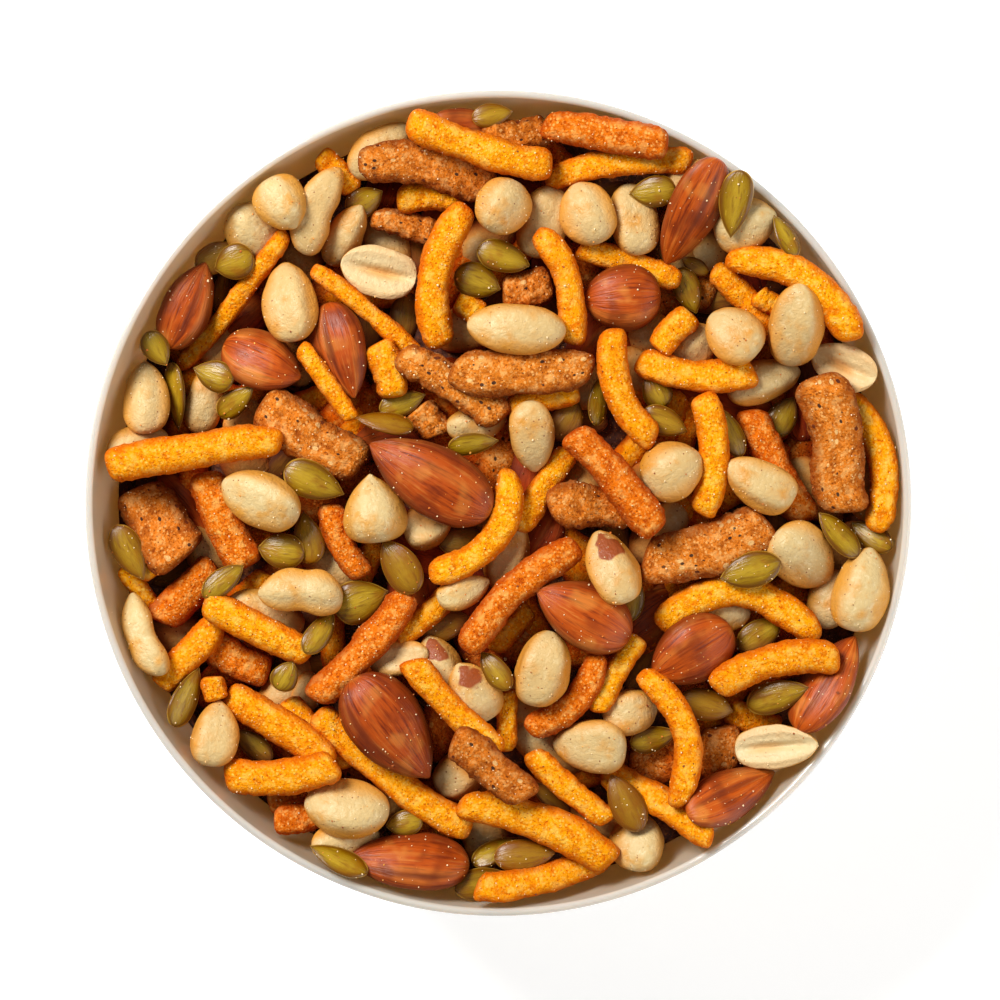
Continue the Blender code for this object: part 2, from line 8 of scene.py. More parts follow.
import bpy
import numpy as np
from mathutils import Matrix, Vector


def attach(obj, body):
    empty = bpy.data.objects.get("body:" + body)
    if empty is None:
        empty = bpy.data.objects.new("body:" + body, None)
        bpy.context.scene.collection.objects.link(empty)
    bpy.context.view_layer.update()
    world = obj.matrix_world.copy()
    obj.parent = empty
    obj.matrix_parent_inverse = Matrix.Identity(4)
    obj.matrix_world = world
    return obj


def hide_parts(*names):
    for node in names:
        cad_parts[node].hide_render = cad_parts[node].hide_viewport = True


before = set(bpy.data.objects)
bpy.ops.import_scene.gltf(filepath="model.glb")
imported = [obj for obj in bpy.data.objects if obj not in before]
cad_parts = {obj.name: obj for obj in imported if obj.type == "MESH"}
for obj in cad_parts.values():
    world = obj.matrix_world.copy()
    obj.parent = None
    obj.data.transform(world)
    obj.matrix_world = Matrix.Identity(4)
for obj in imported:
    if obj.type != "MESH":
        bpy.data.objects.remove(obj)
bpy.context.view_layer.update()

bl_info = {
    "name": "Bowl of Trail Mix",
    "version": (1, 0, 0),
    "blender": (4, 5, 0),
    "location": "3D View > Sidebar > Trail Mix",
    "description": "Builds a glazed bowl heaped with nuts, seeds and crunchy sticks",
    "category": "Add Mesh",
}

# Bowl
MM = 0.001
BOWL_RADIUS = 73.0 * MM
BOWL_HEIGHT = 58.0 * MM
LIP = 1.4 * MM
LIP_HEIGHT = BOWL_HEIGHT - LIP / 2
INNER_RADIUS = BOWL_RADIUS - LIP
FLOOR_RADIUS = 30.0 * MM
FLOOR_HEIGHT = 6.5 * MM
FOOT_RECESS = 2.0 * MM
BODY_START_RADIUS = 33.5 * MM
BODY_START_HEIGHT = 3.0 * MM
SWEEP = math.radians(80.0)
# Painted warm shade on the bowl's inside: how far down it grows to full, and its share on the lip's inner
# half
WALL_SHADE_DEPTH = 5.0 * MM
LIP_SHADE_SHARE = 0.4

# Heap
WALL_GAP = 0.6 * MM
LIP_LEAN = 0.4
SKIN_GAP = 0.3 * MM
CROWN = 3.0 * MM
CROWN_FALL = 11.0 * MM
CROWN_TILT = 3.0 * MM
CORE_DEPTH = 11.0 * MM
LEVEL = tuple(step * MM for step in (-9.0, -6.5, -4.5, -2.5, -0.5, 1.0, -11.0))
LEAST_ROLL = 0.05
BAR_POWER = 2.6
SAMPLES_ALONG = np.linspace(-0.98, 0.98, 13)
SAMPLES_ACROSS = (-0.98, -0.8, -0.4, 0.0, 0.4, 0.8, 0.98)
PITCHES = np.linspace(-0.42, 0.42, 15)
TILTS = np.linspace(-0.24, 0.24, 7)
LEANING_COST = 7.0 * MM
TOUCH_SHARE = 0.86
MOVES = np.arange(0.0, 5.1, 0.5) * MM
MOVE_COST = 1.1
SOFTENINGS = 24
DEEP_LEVEL = 6
DEEP_CORE = 14.5 * MM
DEEP_REACH = 69.0 * MM
DEEP_SPACING = 5.5 * MM
DEEP_TRIES = 900
DEEP_LEAST = 5.5 * MM
DEEP_BOW = 0.12
DEEP_SIZES = (0.9, 1.1)
DEEP_KINDS = ("corn", "peanut", "pepita", "corn", "peanut", "sesame", "chilli", "almond")
CELL = 0.6 * MM
FIELD_HALF = 78.0 * MM
CELLS = 261
SOFT_DEPTH = 1.3 * MM
MOST_OVER = 2.5 * MM
SUNK_DEPTH = 9.0 * MM
BED_REACH = 68.5 * MM
BED_AROUND = 200
COARSE_LUMPS = (5.0 * MM, 1.6 * MM)
FINE_LUMPS = (1.4 * MM, 0.5 * MM)
NUT_TIP = 0.22

# The layout is read off a picture taken from straight above, in its pixels
PICTURE_CENTRE = (498.0, 503.0)
PICTURE_RADIUS = 413.5
PICTURE_MIDDLE = (500.0, 500.0)
PICTURE_SIZE = 1000.0
PIXEL = BOWL_RADIUS / PICTURE_RADIUS
EYE_HEIGHT = 750.0 * MM

# Stage
FLOOR_HALF = 8.0
FLOOR_STEPS = 9
FLOOR_GAP = 0.1 * MM
FILL_SHARE = 0.45
SENSOR_WIDTH = 36.0
CLIP = (0.01, 20.0)
KEY_PLACE = (-0.42, 0.42, 0.62)
KEY_SIZE = 0.34
FILL_PLACE = (0.62, -0.26, 0.3)
FILL_SIZE = 0.8

# Sticks: x and y of both ends, bow, width, level (0 deepest, 5 highest)
CORN = (
    (289, 234, 177, 368, 3, 20, 3), (312, 268, 424, 362, 3, 19, 3), (300, 346, 353, 420, 2, 19, 4),
    (322, 154, 356, 190, 0, 24, 1), (408, 124, 552, 167, -4, 34, 5), (397, 205, 461, 199, 4, 29, 3),
    (468, 206, 442, 347, -20, 34, 4), (533, 233, 571, 345, 18, 29, 4), (456, 300, 482, 318, 0, 26, 1),
    (374, 344, 394, 398, 3, 33, 3), (508, 412, 578, 388, 0, 28, 2), (619, 327, 655, 441, -21, 31, 4),
    (637, 361, 755, 370, -10, 32, 3), (577, 251, 681, 281, 4, 25, 2), (545, 178, 690, 164, 6, 28, 3),
    (726, 261, 853, 340, 27, 34, 4), (713, 268, 778, 342, 3, 26, 2), (754, 296, 783, 312, 0, 22, 2),
    (657, 350, 694, 315, 4, 29, 3), (851, 393, 884, 531, 24, 30, 3), (700, 394, 701, 515, 12, 30, 4),
    (659, 624, 819, 640, 42, 33, 3), (714, 690, 838, 659, 17, 34, 4), (728, 710, 778, 728, 0, 28, 1),
    (638, 673, 674, 806, 30, 28, 4), (601, 772, 711, 836, 3, 30, 3), (640, 637, 598, 713, -3, 24, 3),
    (507, 468, 427, 572, 34, 30, 4), (572, 453, 517, 531, -3, 28, 2), (470, 570, 395, 637, 3, 24, 2),
    (530, 607, 493, 652, 0, 22, 1), (510, 690, 508, 752, 0, 21, 2), (410, 660, 501, 751, -6, 29, 4),
    (316, 712, 471, 831, -5, 32, 3), (478, 899, 611, 863, -12, 29, 3), (459, 801, 611, 864, 9, 38, 4),
    (529, 753, 611, 820, -2, 26, 4), (108, 466, 284, 441, 2, 35, 4), (127, 566, 157, 612, 0, 18, 0),
    (140, 560, 160, 575, 0, 22, 0), (268, 573, 222, 616, 0, 26, 1), (204, 602, 312, 655, -4, 32, 3),
    (216, 618, 162, 686, 3, 32, 2), (213, 676, 219, 700, 0, 25, 4), (226, 692, 332, 766, 3, 37, 3),
    (216, 785, 330, 772, -5, 35, 4), (285, 700, 350, 768, 0, 26, 2),
)
CHILLI = (
    (542, 127, 666, 149, 2, 32, 4), (747, 410, 810, 520, -4, 34, 2), (571, 432, 658, 532, 2, 36, 5),
    (579, 546, 464, 650, -10, 33, 4), (408, 592, 313, 700, 4, 34, 3), (600, 655, 528, 732, 12, 28, 3),
    (200, 474, 250, 566, -5, 40, 3), (331, 503, 364, 577, -8, 28, 2), (213, 562, 159, 622, 0, 38, 2),
    (206, 642, 270, 672, 0, 36, 1), (272, 822, 326, 816, 0, 28, 1), (270, 803, 310, 800, 0, 24, 0),
)
SESAME = (
    (360, 160, 498, 182, 2, 44, 3), (486, 138, 548, 120, 0, 34, 1), (370, 222, 440, 236, 3, 28, 2),
    (450, 368, 594, 364, -4, 44, 4), (396, 358, 504, 418, 2, 36, 3), (502, 290, 552, 284, 0, 36, 1),
    (823, 374, 852, 512, -6, 54, 4), (642, 562, 767, 519, -8, 50, 3), (548, 510, 632, 512, 4, 44, 2),
    (628, 770, 740, 742, 0, 48, 1), (452, 737, 530, 796, 0, 38, 4), (262, 401, 362, 468, -3, 52, 3),
    (131, 490, 183, 561, 0, 58, 3), (416, 408, 440, 436, 0, 36, 1), (338, 762, 372, 780, 0, 30, 0),
)
# Nuts and seeds: x, y, heading of the tip in degrees, length, width, level
ALMOND = (
    (184, 304, 66, 92, 50, 3), (262, 361, -24, 84, 58, 3), (341, 350, -74, 98, 54, 3),
    (622, 297, 185, 78, 68, 3), (692, 212, 243, 112, 52, 5), (692, 651, 212, 92, 66, 3),
    (828, 685, 58, 108, 50, 2), (737, 802, 24, 96, 50, 3), (584, 615, 152, 104, 66, 4),
    (431, 479, 150, 138, 72, 5), (390, 728, -52, 124, 78, 5), (409, 862, 176, 120, 56, 3),
    (470, 130, 0, 80, 44, 0), (541, 536, 60, 70, 44, 0), (800, 412, 100, 60, 40, 0),
)
PEANUT = (
    (280, 201, 300, 56, 50, 4), (322, 213, 68, 92, 46, 3), (248, 226, 130, 64, 54, 2),
    (345, 236, 60, 66, 36, 2), (289, 303, 96, 80, 56, 4), (379, 271, 166, 76, 50, 3),
    (377, 140, 40, 74, 44, 2), (503, 208, 60, 56, 54, 4), (543, 222, 70, 74, 50, 2),
    (588, 214, 112, 64, 54, 4), (634, 220, 100, 72, 50, 3), (517, 328, 176, 98, 52, 5),
    (745, 226, 20, 62, 54, 2), (690, 180, 30, 54, 40, 1), (801, 322, 85, 80, 54, 5),
    (734, 335, 140, 60, 56, 4), (692, 346, 30, 54, 46, 1), (763, 382, 18, 76, 42, 2),
    (847, 364, 155, 68, 44, 3), (866, 482, 92, 78, 42, 1), (760, 482, 152, 76, 50, 4),
    (672, 471, 30, 62, 58, 4), (802, 557, -40, 74, 60, 3), (870, 592, 75, 84, 54, 4),
    (832, 600, 70, 60, 44, 2), (721, 613, 0, 56, 34, 1), (781, 752, 6, 80, 42, 4),
    (642, 852, 80, 56, 54, 3), (629, 712, 10, 54, 48, 2), (613, 567, 115, 76, 50, 4),
    (373, 509, 95, 68, 64, 4), (428, 527, 20, 50, 44, 2), (532, 436, -85, 70, 48, 2),
    (476, 423, 10, 60, 34, 1), (463, 590, 20, 54, 32, 2), (507, 556, 80, 72, 44, 1),
    (541, 669, 75, 76, 54, 4), (474, 692, 120, 64, 50, 3), (438, 666, 110, 62, 46, 2),
    (398, 657, 10, 60, 34, 2), (590, 747, 175, 72, 58, 3), (597, 822, -30, 60, 40, 1),
    (460, 772, 40, 58, 46, 1), (348, 806, 174, 84, 56, 4), (344, 843, 10, 66, 34, 2),
    (141, 397, 92, 72, 46, 4), (130, 446, 20, 60, 44, 2), (203, 402, 80, 64, 38, 1),
    (244, 420, 60, 44, 40, 0), (261, 500, 155, 84, 56, 5), (301, 596, 176, 84, 48, 4),
    (266, 614, 160, 80, 44, 1), (138, 638, 112, 86, 36, 2), (209, 738, 82, 64, 48, 4),
    (306, 692, 80, 40, 34, 0),
)
PEPITA = (
    (155, 348, -58, 38, 28, 4), (236, 263, 200, 40, 36, 3), (207, 250, 30, 44, 30, 2),
    (222, 290, 80, 48, 16, 1), (365, 203, 30, 40, 30, 1), (503, 257, -18, 54, 32, 3),
    (477, 281, -20, 48, 36, 2), (385, 423, 170, 58, 22, 4), (402, 403, 20, 48, 26, 2),
    (473, 444, 8, 50, 22, 4), (566, 420, 60, 46, 34, 1), (598, 402, 86, 48, 20, 2),
    (737, 202, -98, 66, 34, 5), (656, 185, 186, 46, 32, 4), (787, 235, 118, 46, 20, 4),
    (688, 290, -70, 48, 28, 1), (695, 266, 150, 30, 16, 1), (767, 288, 20, 40, 24, 0),
    (656, 390, 115, 38, 30, 2), (664, 422, -22, 48, 30, 3), (731, 433, 112, 52, 24, 3),
    (782, 417, 60, 44, 30, 1), (751, 570, 196, 62, 36, 5), (839, 535, 132, 58, 26, 5),
    (873, 536, 145, 46, 26, 2), (632, 600, 80, 44, 26, 1), (759, 636, 32, 50, 32, 2),
    (776, 696, 18, 62, 32, 3), (706, 705, -14, 54, 32, 2), (626, 803, 118, 62, 36, 5),
    (463, 540, 10, 50, 30, 1), (400, 567, 122, 60, 38, 4), (361, 601, 20, 56, 44, 2),
    (444, 624, 15, 52, 34, 1), (496, 671, 128, 46, 26, 4), (405, 822, 190, 36, 26, 3),
    (336, 867, 155, 62, 24, 3), (495, 851, 28, 52, 22, 3), (525, 867, 4, 60, 32, 3),
    (481, 882, 15, 54, 30, 2), (551, 799, 140, 50, 20, 1), (653, 738, 15, 48, 26, 2),
    (175, 396, -84, 68, 22, 3), (215, 376, 160, 42, 32, 3), (236, 402, 38, 44, 26, 3),
    (314, 481, -24, 64, 38, 4), (118, 554, -62, 60, 32, 3), (282, 551, 172, 46, 36, 3),
    (308, 538, 100, 52, 32, 2), (224, 581, 38, 50, 26, 3), (319, 633, 55, 48, 26, 3),
    (186, 698, 68, 62, 26, 3), (253, 746, 140, 48, 24, 2), (285, 676, 60, 32, 28, 4),
    (492, 121, 10, 40, 24, 1),
)
# Peanuts that lie split side up, show a hollow, are narrow in the middle, taper, or keep a scrap of skin
SPLIT_PEANUTS = (5, 18, 26)
HOLLOW_PEANUTS = (31, 39)
WAISTED_PEANUTS = (1, 50, 52)
CONE_PEANUTS = (30,)
CONE_SHARP = 0.72
SKINNED_PEANUTS = (29, 37, 38)
# Almonds with a lengthwise crease, and how far across it lies
CREASED_ALMONDS = {0: -0.25, 2: -0.35, 4: 0.3, 6: 0.1, 7: 0.25, 11: 0.45, 10: -0.6}

# Each kind's rows, thickness as a share of width, least width as a share of length (none for a stick),
# and length and width of a deep one in the picture's pixels
KINDS = {
    "corn": (CORN, 0.82, None, (100, 29)),
    "chilli": (CHILLI, 0.85, None, (90, 32)),
    "sesame": (SESAME, 0.55, None, (96, 44)),
    "almond": (ALMOND, 0.62, 0.52, (110, 58)),
    "peanut": (PEANUT, 0.88, 0.5, (76, 50)),
    "pepita": (PEPITA, 0.36, 0.5, (58, 31)),
}
STYLES = {
    "corn": dict(square=2.5, blunt=14.0, swell=0.09, grain_size=1.0 * MM, askew=0.4, wander=0.12,
                 share=1.1, sizes=(60, 28)),
    "chilli": dict(square=2.3, blunt=12.0, swell=0.1, grain_size=1.1 * MM, askew=0.4, wander=0.14,
                   share=1.3, sizes=(72, 36)),
    "sesame": dict(square=2.8, blunt=9.0, swell=0.16, grain_size=1.3 * MM, askew=0.5, wander=0.14,
                   share=1.9, sizes=(88, 44)),
    "almond": dict(blunt=(0.42, 0.5), sharp=(0.6, 0.74), square=0.95, lens=0.9, dent=0.16 * MM,
                   dent_size=5.0 * MM, nib=0.3 * MM, bend=0.01, facet=0.012, sizes=(56, 40)),
    "peanut": dict(blunt=(0.34, 0.46), sharp=(0.38, 0.56), square=0.9, lens=0.95, dent=0.26 * MM,
                   dent_size=3.8 * MM, nib=0.22 * MM, bend=0.03, facet=0.035, sizes=(34, 32)),
    "pepita": dict(blunt=(0.46, 0.56), sharp=(0.62, 0.82), square=1.0, lens=0.85, dent=0.07 * MM,
                   dent_size=3.0 * MM, nib=0.2 * MM, bend=0.015, facet=0.0, sizes=(28, 28)),
}
SWELL_SIZE = 4.5 * MM
WANDER_SIZE = 11.0 * MM
PEPITA_RIM = 0.1 * MM
CREASE_DEPTH = 0.3 * MM
SEAM_DEPTH = 0.16 * MM


# Layout of the heap


def sweep_height(radius):
    """Height of the bowl's inside wall at a radius: an arc of an ellipse turned up from the floor."""
    share = np.clip((radius - FLOOR_RADIUS) / (INNER_RADIUS - FLOOR_RADIUS), 0.0, 1.0)
    rise = 1.0 - np.sqrt(1.0 - (share * math.sin(SWEEP)) ** 2)
    return FLOOR_HEIGHT + (LIP_HEIGHT - FLOOR_HEIGHT) * rise / (1.0 - math.cos(SWEEP))


def sweep_radius(height):
    """Radius of the inside wall at a height: the same arc read the other way."""
    share = np.clip((height - FLOOR_HEIGHT) / (LIP_HEIGHT - FLOOR_HEIGHT), 0.0, 1.0)
    cosine = 1.0 - share * (1.0 - math.cos(SWEEP))
    return FLOOR_RADIUS + (INNER_RADIUS - FLOOR_RADIUS) * np.sqrt(1.0 - cosine ** 2) / math.sin(SWEEP)


def crown(x, y):
    """Height of the heap's mean surface: a dome falling with the square of the radius, tilted along X."""
    share = np.hypot(x, y) / INNER_RADIUS
    return BOWL_HEIGHT + CROWN - CROWN_FALL * share ** 2 + CROWN_TILT * x / INNER_RADIUS


def picture_point(px, py, level):
    """Place and scale of a picture point for a piece of that level, seen from the eye's height."""
    x, y = (px - PICTURE_CENTRE[0]) * PIXEL, (PICTURE_CENTRE[1] - py) * PIXEL
    depth = BOWL_HEIGHT - crown(x, y) - LEVEL[level]
    grow = (EYE_HEIGHT + depth) / EYE_HEIGHT
    return x * grow, y * grow, PIXEL * grow


class Piece:
    """One nut, seed or stick: its plan shape and, once settled, its height and slopes."""

    def __init__(self, kind, x, y, heading, length, width, thick, bow, tip, roll, level, number=-1):
        self.kind, self.level, self.number = kind, level, number
        self.x, self.y, self.heading = x, y, heading
        self.length, self.width, self.thick = length, width, thick
        self.bow, self.tip, self.roll = bow, tip, roll
        self.z = self.pitch = self.slope = 0.0

    def turn(self, u, v):
        """Plan position of a point given along and across the piece."""
        c, s = math.cos(self.heading), math.sin(self.heading)
        return self.x + u * c - v * s, self.y + u * s + v * c

    def form(self, t, w):
        """Across position and half thickness at t along and w across, both -1 to 1.

        A nut is an egg: both shrink with sqrt(1 - t * t), more towards its tip. A stick is a
        rounded bar: a squared circle across, a little narrower and thinner at its ends.
        """
        if self.tip:
            ring = np.sqrt(np.maximum(1.0 - t * t, 0.0)) * (1.0 - self.tip * t)
            return w * ring * self.width / 2, ring * np.sqrt(np.maximum(1.0 - w * w, 0.0)) * self.thick / 2
        half = self.width / 2 * (1.0 - 0.18 * np.abs(t) ** 6)
        rise = (1.0 - np.abs(w) ** BAR_POWER) ** (1 / BAR_POWER) * (1.0 - 0.3 * np.abs(t) ** 8)
        return self.bow * (1.0 - t * t) + w * half, rise * self.thick / 2

    def samples(self):
        """Points over the piece: along, across, half thickness."""
        t, w = np.meshgrid(SAMPLES_ALONG, SAMPLES_ACROSS)
        across, rise = self.form(t.ravel(), w.ravel())
        return t.ravel() * self.length / 2, across, rise


def laid_out(kind, number):
    """A piece from its layout row; a nut or seed seen narrow lies tilted on its long axis."""
    rows, ratio, broad, _ = KINDS[kind]
    if broad is None:
        x0, y0, x1, y1, bow, width, level = rows[number]
        x, y, scale = picture_point((x0 + x1) / 2, (y0 + y1) / 2, level)
        length, heading = math.hypot(x1 - x0, y1 - y0) * scale, math.atan2(y0 - y1, x1 - x0)
        width = width * scale
        thick, bow = width * ratio, bow * scale
        return Piece(kind, x, y, heading, length, width, thick, bow, 0.0, 0.0, level, number)
    px, py, heading, length, width, level = rows[number]
    x, y, scale = picture_point(px, py, level)
    length, width = length * scale, width * scale
    full = max(width, broad * length)
    thin = ratio * full
    share = min(max((width ** 2 - thin ** 2) / (full ** 2 - thin ** 2), 0.0), 1.0)
    roll = (full ** 2 - thin ** 2) * math.sqrt(share * (1.0 - share)) / width ** 2
    thick = full * thin / width
    return Piece(kind, x, y, math.radians(heading), length, width, thick, 0.0, NUT_TIP, roll, level, number)


def all_pieces():
    """Every piece of the layout, deepest first."""
    pieces = [laid_out(kind, number) for kind in KINDS for number in range(len(KINDS[kind][0]))]
    return sorted(pieces, key=lambda piece: piece.level)


def lay(piece, x, y, low, along, across, pile, wall):
    """Lowest rest of a piece at a place: (cost, height, pitch, slope)."""
    count = len(pile)
    i = np.clip(np.round((x + FIELD_HALF) / CELL).astype(int), 0, count - 1)
    j = np.clip(np.round((y + FIELD_HALF) / CELL).astype(int), 0, count - 1)
    least = crown(piece.x, piece.y) + LEVEL[piece.level]
    pitches = PITCHES[:, None]
    best = None
    for side in ((1.0, -1.0) if piece.roll > LEAST_ROLL else (1.0,)):
        for tilt in TILTS:
            slope = side * piece.roll + tilt
            under = low + pitches * along + slope * across
            touch = np.sort(pile[i, j] - under, axis=1)
            soft = np.maximum(touch[:, int(touch.shape[1] * TOUCH_SHARE)], touch[:, -1] - SOFT_DEPTH)
            height = np.maximum(np.maximum(soft, least), (wall[i, j] - under).max(axis=1))
            cost = height + LEANING_COST * (PITCHES ** 2 + tilt ** 2)
            pick = int(np.argmin(cost))
            if best is None or cost[pick] < best[0]:
                best = (cost[pick], height[pick], PITCHES[pick], slope)
    return best


def fields():
    """Plan grid, the bowl's wall as a height field, and the bare core that the first pieces meet."""
    axis = np.arange(-FIELD_HALF, FIELD_HALF + CELL / 2, CELL)
    gx, gy = np.meshgrid(axis, axis, indexing="ij")
    radius = np.hypot(gx, gy)
    inside = radius < INNER_RADIUS - WALL_GAP
    over_lip = BOWL_HEIGHT + WALL_GAP + (radius - INNER_RADIUS + WALL_GAP) / LIP_LEAN
    wall = np.where(inside, sweep_height(radius + WALL_GAP), over_lip)
    pile = np.where(inside, np.maximum(crown(gx, gy) - CORE_DEPTH, sweep_height(radius)), 0.0)
    return gx, gy, wall, pile


def settle(pieces, gx, gy, wall, pile):
    """Let the pieces down one by one on a height field; one that the wall holds up moves inward."""
    owner = np.full(gx.shape, -1)
    for number, piece in enumerate(pieces):
        along, across, rise = piece.samples()
        x, y = piece.turn(along, across)
        reach = math.hypot(piece.x, piece.y)
        best = None
        for step in MOVES:
            dx, dy = -piece.x / reach * step, -piece.y / reach * step
            found = lay(piece, x + dx, y + dy, -rise, along, across, pile, wall)
            cost = max(found[1] - crown(piece.x, piece.y) - MOST_OVER, 0.0) + MOVE_COST * step
            if best is None or cost < best[0]:
                best = (cost, found, dx, dy)
        _, (_, piece.z, piece.pitch, piece.slope), dx, dy = best
        piece.x, piece.y = piece.x + dx, piece.y + dy
        spread(piece, gx, gy, pile, owner, number)
    return owner


def spread(piece, gx, gy, pile, owner, number):
    """Add a settled piece to the height field."""
    c, s = math.cos(piece.heading), math.sin(piece.heading)
    u = (gx - piece.x) * c + (gy - piece.y) * s
    v = (gy - piece.y) * c - (gx - piece.x) * s
    t = 2.0 * u / piece.length
    near = (np.abs(t) < 1.0) & (np.abs(v) < piece.width / 2 + abs(piece.bow))
    t = np.clip(t, -0.999, 0.999)
    middle, _ = piece.form(t, np.zeros_like(t))
    edge, _ = piece.form(t, np.ones_like(t))
    w = (v - middle) / (edge - middle)
    _, rise = piece.form(t, np.clip(w, -1.0, 1.0))
    top = piece.z + piece.pitch * u + piece.slope * v + rise
    higher = near & (np.abs(w) < 1.0) & (top > pile)
    pile[higher] = top[higher]
    owner[higher] = number


def deep_pieces(rng, gx, gy, owner, wall):
    """Pieces that show dark in the gaps, drawn at random where no other piece covers."""
    radius = np.hypot(gx, gy)
    bare = np.argwhere((owner < 0) & (radius < DEEP_REACH))
    core = np.maximum(crown(gx, gy) - DEEP_CORE, sweep_height(radius))
    floor = np.where(radius < INNER_RADIUS, core, 0.0)
    found, places = [], []
    for _ in range(DEEP_TRIES):
        i, j = bare[rng.integers(len(bare))]
        x, y = gx[i, j], gy[i, j]
        if any((x - a) ** 2 + (y - b) ** 2 < DEEP_SPACING ** 2 for a, b in places):
            continue
        places.append((x, y))
        kind = DEEP_KINDS[rng.integers(len(DEEP_KINDS))]
        heading, size = rng.uniform(0.0, math.tau), rng.uniform(*DEEP_SIZES)
        _, ratio, broad, shape = KINDS[kind]
        length, width = (part * PIXEL * size for part in shape)
        bow, tip = (rng.uniform(-DEEP_BOW, DEEP_BOW) * length, 0.0) if broad is None else (0.0, NUT_TIP)
        made = Piece(kind, x, y, heading, length, width, width * ratio, bow, tip, 0.0, DEEP_LEVEL)
        along, across, rise = made.samples()
        px, py = made.turn(along, across)
        _, made.z, made.pitch, made.slope = lay(made, px, py, -rise, along, across, floor, wall)
        if made.z < crown(x, y) - DEEP_LEAST:
            found.append(made)
    return found


# Relief, as plain numbers


def lattice(cells, seed):
    """Random value from 0 to 1 for whole-number cells: their numbers times odd constants, mixed."""
    mixed = cells @ np.array((374761393, 668265263, 2147483647)) + seed * 1274126177
    mixed = (mixed ^ (mixed >> 13)) * 1103515245
    mixed = mixed ^ (mixed >> 16)
    return (mixed & 0xFFFFFF) / float(0xFFFFFF)


def cloud(points, size, seed):
    """Smooth noise from -1 to 1 with features of that size: lattice values blended by 3s^2 - 2s^3."""
    place = points / size
    base = np.floor(place).astype(np.int64)
    share = place - base
    share = share * share * (3.0 - 2.0 * share)
    total = np.zeros(points.shape[:-1])
    for dx in (0, 1):
        for dy in (0, 1):
            for dz in (0, 1):
                weight = np.abs(1 - dx - share[..., 0]) * np.abs(1 - dy - share[..., 1])
                weight = weight * np.abs(1 - dz - share[..., 2])
                total += weight * lattice(base + np.array((dx, dy, dz)), seed)
    return total * 2.0 - 1.0


def layered(points, size, seed, layers=3, fall=0.55):
    """Noise of several sizes added up, each half as large and weaker by the fall."""
    total, strength = 0.0, 1.0
    for k in range(layers):
        total = total + cloud(points, size / 2 ** k, seed + k) * strength
        strength *= fall
    return total


# Surfaces


class Skin:
    """Closed tube surfaces on a grid of rings, gathered for one mesh with values stored on their points."""

    def __init__(self):
        self.points, self.faces, self.values = [], [], {}
        self.count = 0

    def add(self, grid, start, end, **values):
        """Rings of points (rings, around, 3) closed by a pole at each end; values have the grid's shape."""
        rings, around = grid.shape[:2]
        index = np.arange(rings * around).reshape(rings, around) + self.count
        after = np.roll(index, -1, axis=1)
        quads = np.stack((index[:-1], after[:-1], after[1:], index[1:]), axis=-1).reshape(-1, 4)
        first, last = self.count + rings * around, self.count + rings * around + 1
        low = np.stack((np.full(around, first), after[0], index[0], np.full(around, -1)), axis=-1)
        high = np.stack((np.full(around, last), index[-1], after[-1], np.full(around, -1)), axis=-1)
        self.faces.append(np.concatenate((quads, low, high)))
        self.points.append(np.concatenate((grid.reshape(-1, 3), (start, end))))
        for key, value in values.items():
            flat = np.broadcast_to(value, grid.shape[:2] + np.shape(value)[2:])
            flat = flat.reshape((rings * around,) + flat.shape[2:])
            ends = np.stack((flat[:around].mean(axis=0), flat[-around:].mean(axis=0)))
            self.values.setdefault(key, []).append(np.concatenate((flat, ends)))
        self.count += rings * around + 2

    def object(self, name, material, top=None):
        """One smooth object of everything gathered; with a top field, how deep each point lies is stored."""
        points = np.concatenate(self.points)
        values = {key: np.concatenate(value) for key, value in self.values.items()}
        if top is not None:
            under = read_field(top, points[:, 0], points[:, 1]) - points[:, 2]
            values["sunk"] = np.clip(under / SUNK_DEPTH, 0.0, 1.0)
        return mesh_object(name, points, np.concatenate(self.faces), material, values)


def mesh_object(name, points, faces, material, values=None, smooth=True):
    """Object from arrays: faces are rows of four point numbers, the last -1 for a triangle."""
    mesh = bpy.data.meshes.new(name)
    corners = faces[faces >= 0]
    sizes = (faces >= 0).sum(axis=1)
    mesh.vertices.add(len(points))
    mesh.vertices.foreach_set("co", points.astype(np.float32).ravel())
    mesh.loops.add(len(corners))
    mesh.loops.foreach_set("vertex_index", corners.astype(np.int32))
    mesh.polygons.add(len(faces))
    mesh.polygons.foreach_set("loop_start", (np.cumsum(sizes) - sizes).astype(np.int32))
    mesh.update(calc_edges=True)
    mesh.validate()
    mesh.polygons.foreach_set("use_smooth", np.full(len(mesh.polygons), smooth))
    for key, value in (values or {}).items():
        kind = "FLOAT_VECTOR" if value.ndim == 2 else "FLOAT"
        layer = mesh.attributes.new(key, kind, "POINT")
        layer.data.foreach_set("vector" if value.ndim == 2 else "value", value.astype(np.float32).ravel())
    mesh.materials.append(material)
    item = bpy.data.objects.new(name, mesh)
    bpy.context.scene.collection.objects.link(item)
    return item


def inside_bowl(points):
    """Points moved in from the bowl's wall where they would come too close to it."""
    radius = np.hypot(points[..., 0], points[..., 1])
    over = np.maximum(0.0, points[..., 2] - BOWL_HEIGHT - WALL_GAP) * LIP_LEAN
    most = sweep_radius(points[..., 2]) - SKIN_GAP + over
    shrink = np.minimum(1.0, most / np.maximum(radius, 1e-6))
    return points * np.stack((shrink, shrink, np.ones_like(shrink)), axis=-1)


def placed(piece, u, v, h):
    """World points from along, across and up: turned by the heading, sheared by pitch and slope."""
    x, y = piece.turn(u, v)
    return inside_bowl(np.stack((x, y, piece.z + piece.pitch * u + piece.slope * v + h), axis=-1))


def power(value, exponent):
    """Signed power, which squares off or pinches a cosine."""
    return np.sign(value) * np.abs(value) ** exponent


